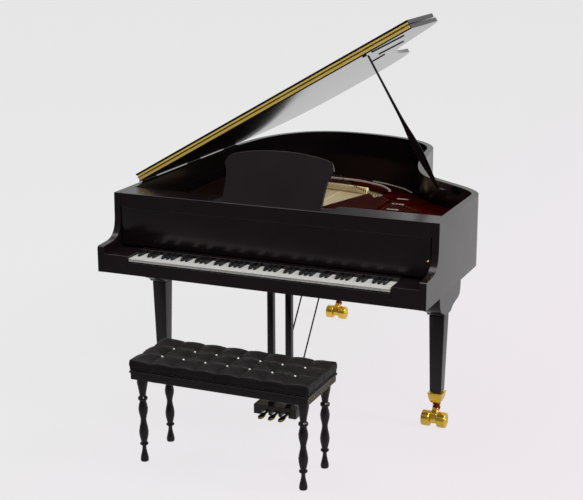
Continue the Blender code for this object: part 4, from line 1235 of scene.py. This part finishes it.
def floor_material():
    """A glowing floor: the camera sees pale grey, and the lacquer reflects a room with a dark front."""
    material = bpy.data.materials.new("pale_floor")
    material.use_nodes = True
    tree = material.node_tree
    tree.nodes.clear()
    axes = axes_of(tree, tree.nodes.new("ShaderNodeTexCoord"), "Object")
    pinker = spread(tree, axes["X"], -0.1, 0.25)
    seen = mixed(tree, "RGBA", pinker, (0.806, 0.806, 0.806, 1), (0.862, 0.768, 0.842, 1))
    depth = spread(tree, axes["Y"], -0.25, 0.12, 0.12, 1.0)
    across = spread(tree, axes["X"], -0.35, 0.25, 0.66, 0.70)
    reflected = compute(tree, "MULTIPLY", depth, across)
    path = tree.nodes.new("ShaderNodeLightPath")
    glow = tree.nodes.new("ShaderNodeMixShader")
    both = tree.nodes.new("ShaderNodeAddShader")
    diffuse = node(tree, "ShaderNodeBsdfDiffuse", Color=(0.050, 0.0485, 0.050, 1))
    output = tree.nodes.new("ShaderNodeOutputMaterial")
    sources = (path.outputs["Is Camera Ray"], floor_glow(tree, reflected), floor_glow(tree, 0.955, seen))
    for source, entry in zip(sources, glow.inputs):
        tree.links.new(source, entry)
    tree.links.new(glow.outputs["Shader"], both.inputs[0])
    tree.links.new(diffuse.outputs["BSDF"], both.inputs[1])
    link(tree, both, "Shader", output, "Surface")
    return material


def make_stage():
    bm = bmesh.new()
    bmesh.ops.create_grid(bm, x_segments=1, y_segments=1, size=8)
    mesh = bpy.data.meshes.new("floor")
    bm.to_mesh(mesh)
    bm.free()
    mesh.materials.append(floor_material())
    floor = bpy.data.objects.new("floor", mesh)
    floor.location.z = -0.0002
    bpy.context.scene.collection.objects.link(floor)


def make_world():
    """A plain room that brightens from front to back, and pale where the camera sees it."""
    world = bpy.data.worlds.new("room")
    bpy.context.scene.world = world
    world.use_nodes = True
    tree = world.node_tree
    background = tree.nodes["Background"]
    axes = axes_of(tree, tree.nodes.new("ShaderNodeTexCoord"), "Generated")
    room = spread(tree, axes["Y"], -0.9, 0.7, 0.13, 0.62)
    path = tree.nodes.new("ShaderNodeLightPath")
    level = mixed(tree, "FLOAT", path.outputs["Is Camera Ray"], room, 0.835)
    tree.links.new(level, background.inputs["Strength"])
    background.inputs["Color"].default_value = (1.0, 1.0, 1.0, 1)


def area_light(name, place, target, size, power):
    light = bpy.data.lights.new(name, "AREA")
    light.shape = "DISK"
    light.size = size
    light.energy = power
    obj = bpy.data.objects.new(name, light)
    obj.location = place
    obj.rotation_euler = (Vector(target) - Vector(place)).to_track_quat("-Z", "Y").to_euler()
    bpy.context.scene.collection.objects.link(obj)


def make_camera():
    """The photograph's view: from the front, a little to the right and above."""
    turn, down, roll = (math.radians(angle) for angle in (23.293, 14.983, -0.15))
    data = bpy.data.cameras.new("camera")
    data.lens = 83.47
    data.sensor_width = 36
    data.clip_start = 0.01
    camera = bpy.data.objects.new("camera", data)
    place = Matrix.Translation(ORIGIN + Vector((0.1939, -0.4165, 0.1932)))
    aim = Matrix.Rotation(turn, 4, "Z") @ Matrix.Rotation(math.pi / 2 - down, 4, "X")
    camera.matrix_world = place @ aim @ Matrix.Rotation(roll, 4, "Z")
    bpy.context.scene.collection.objects.link(camera)
    bpy.context.scene.camera = camera


make_camera()
make_case()
make_white_keys()
make_black_keys()
make_fallboard()
make_desk()
make_lid()
make_inside()
for leg_name in LEG_CENTRES:
    make_leg(leg_name)
make_lyre()
make_bench()
make_stage()
make_world()
area_light("overhead", (-0.25, -0.10, 0.85), (0, 0, 0.05), 0.6, 2.6)
area_light("front", (0.62, -0.72, 0.80), (0, 0, 0.06), 0.4, 4.9)
area_light("side", (0.75, 0.05, 0.62), (0, 0.02, 0.07), 0.3, 4.0)
bpy.context.scene.view_settings.view_transform = "Standard"
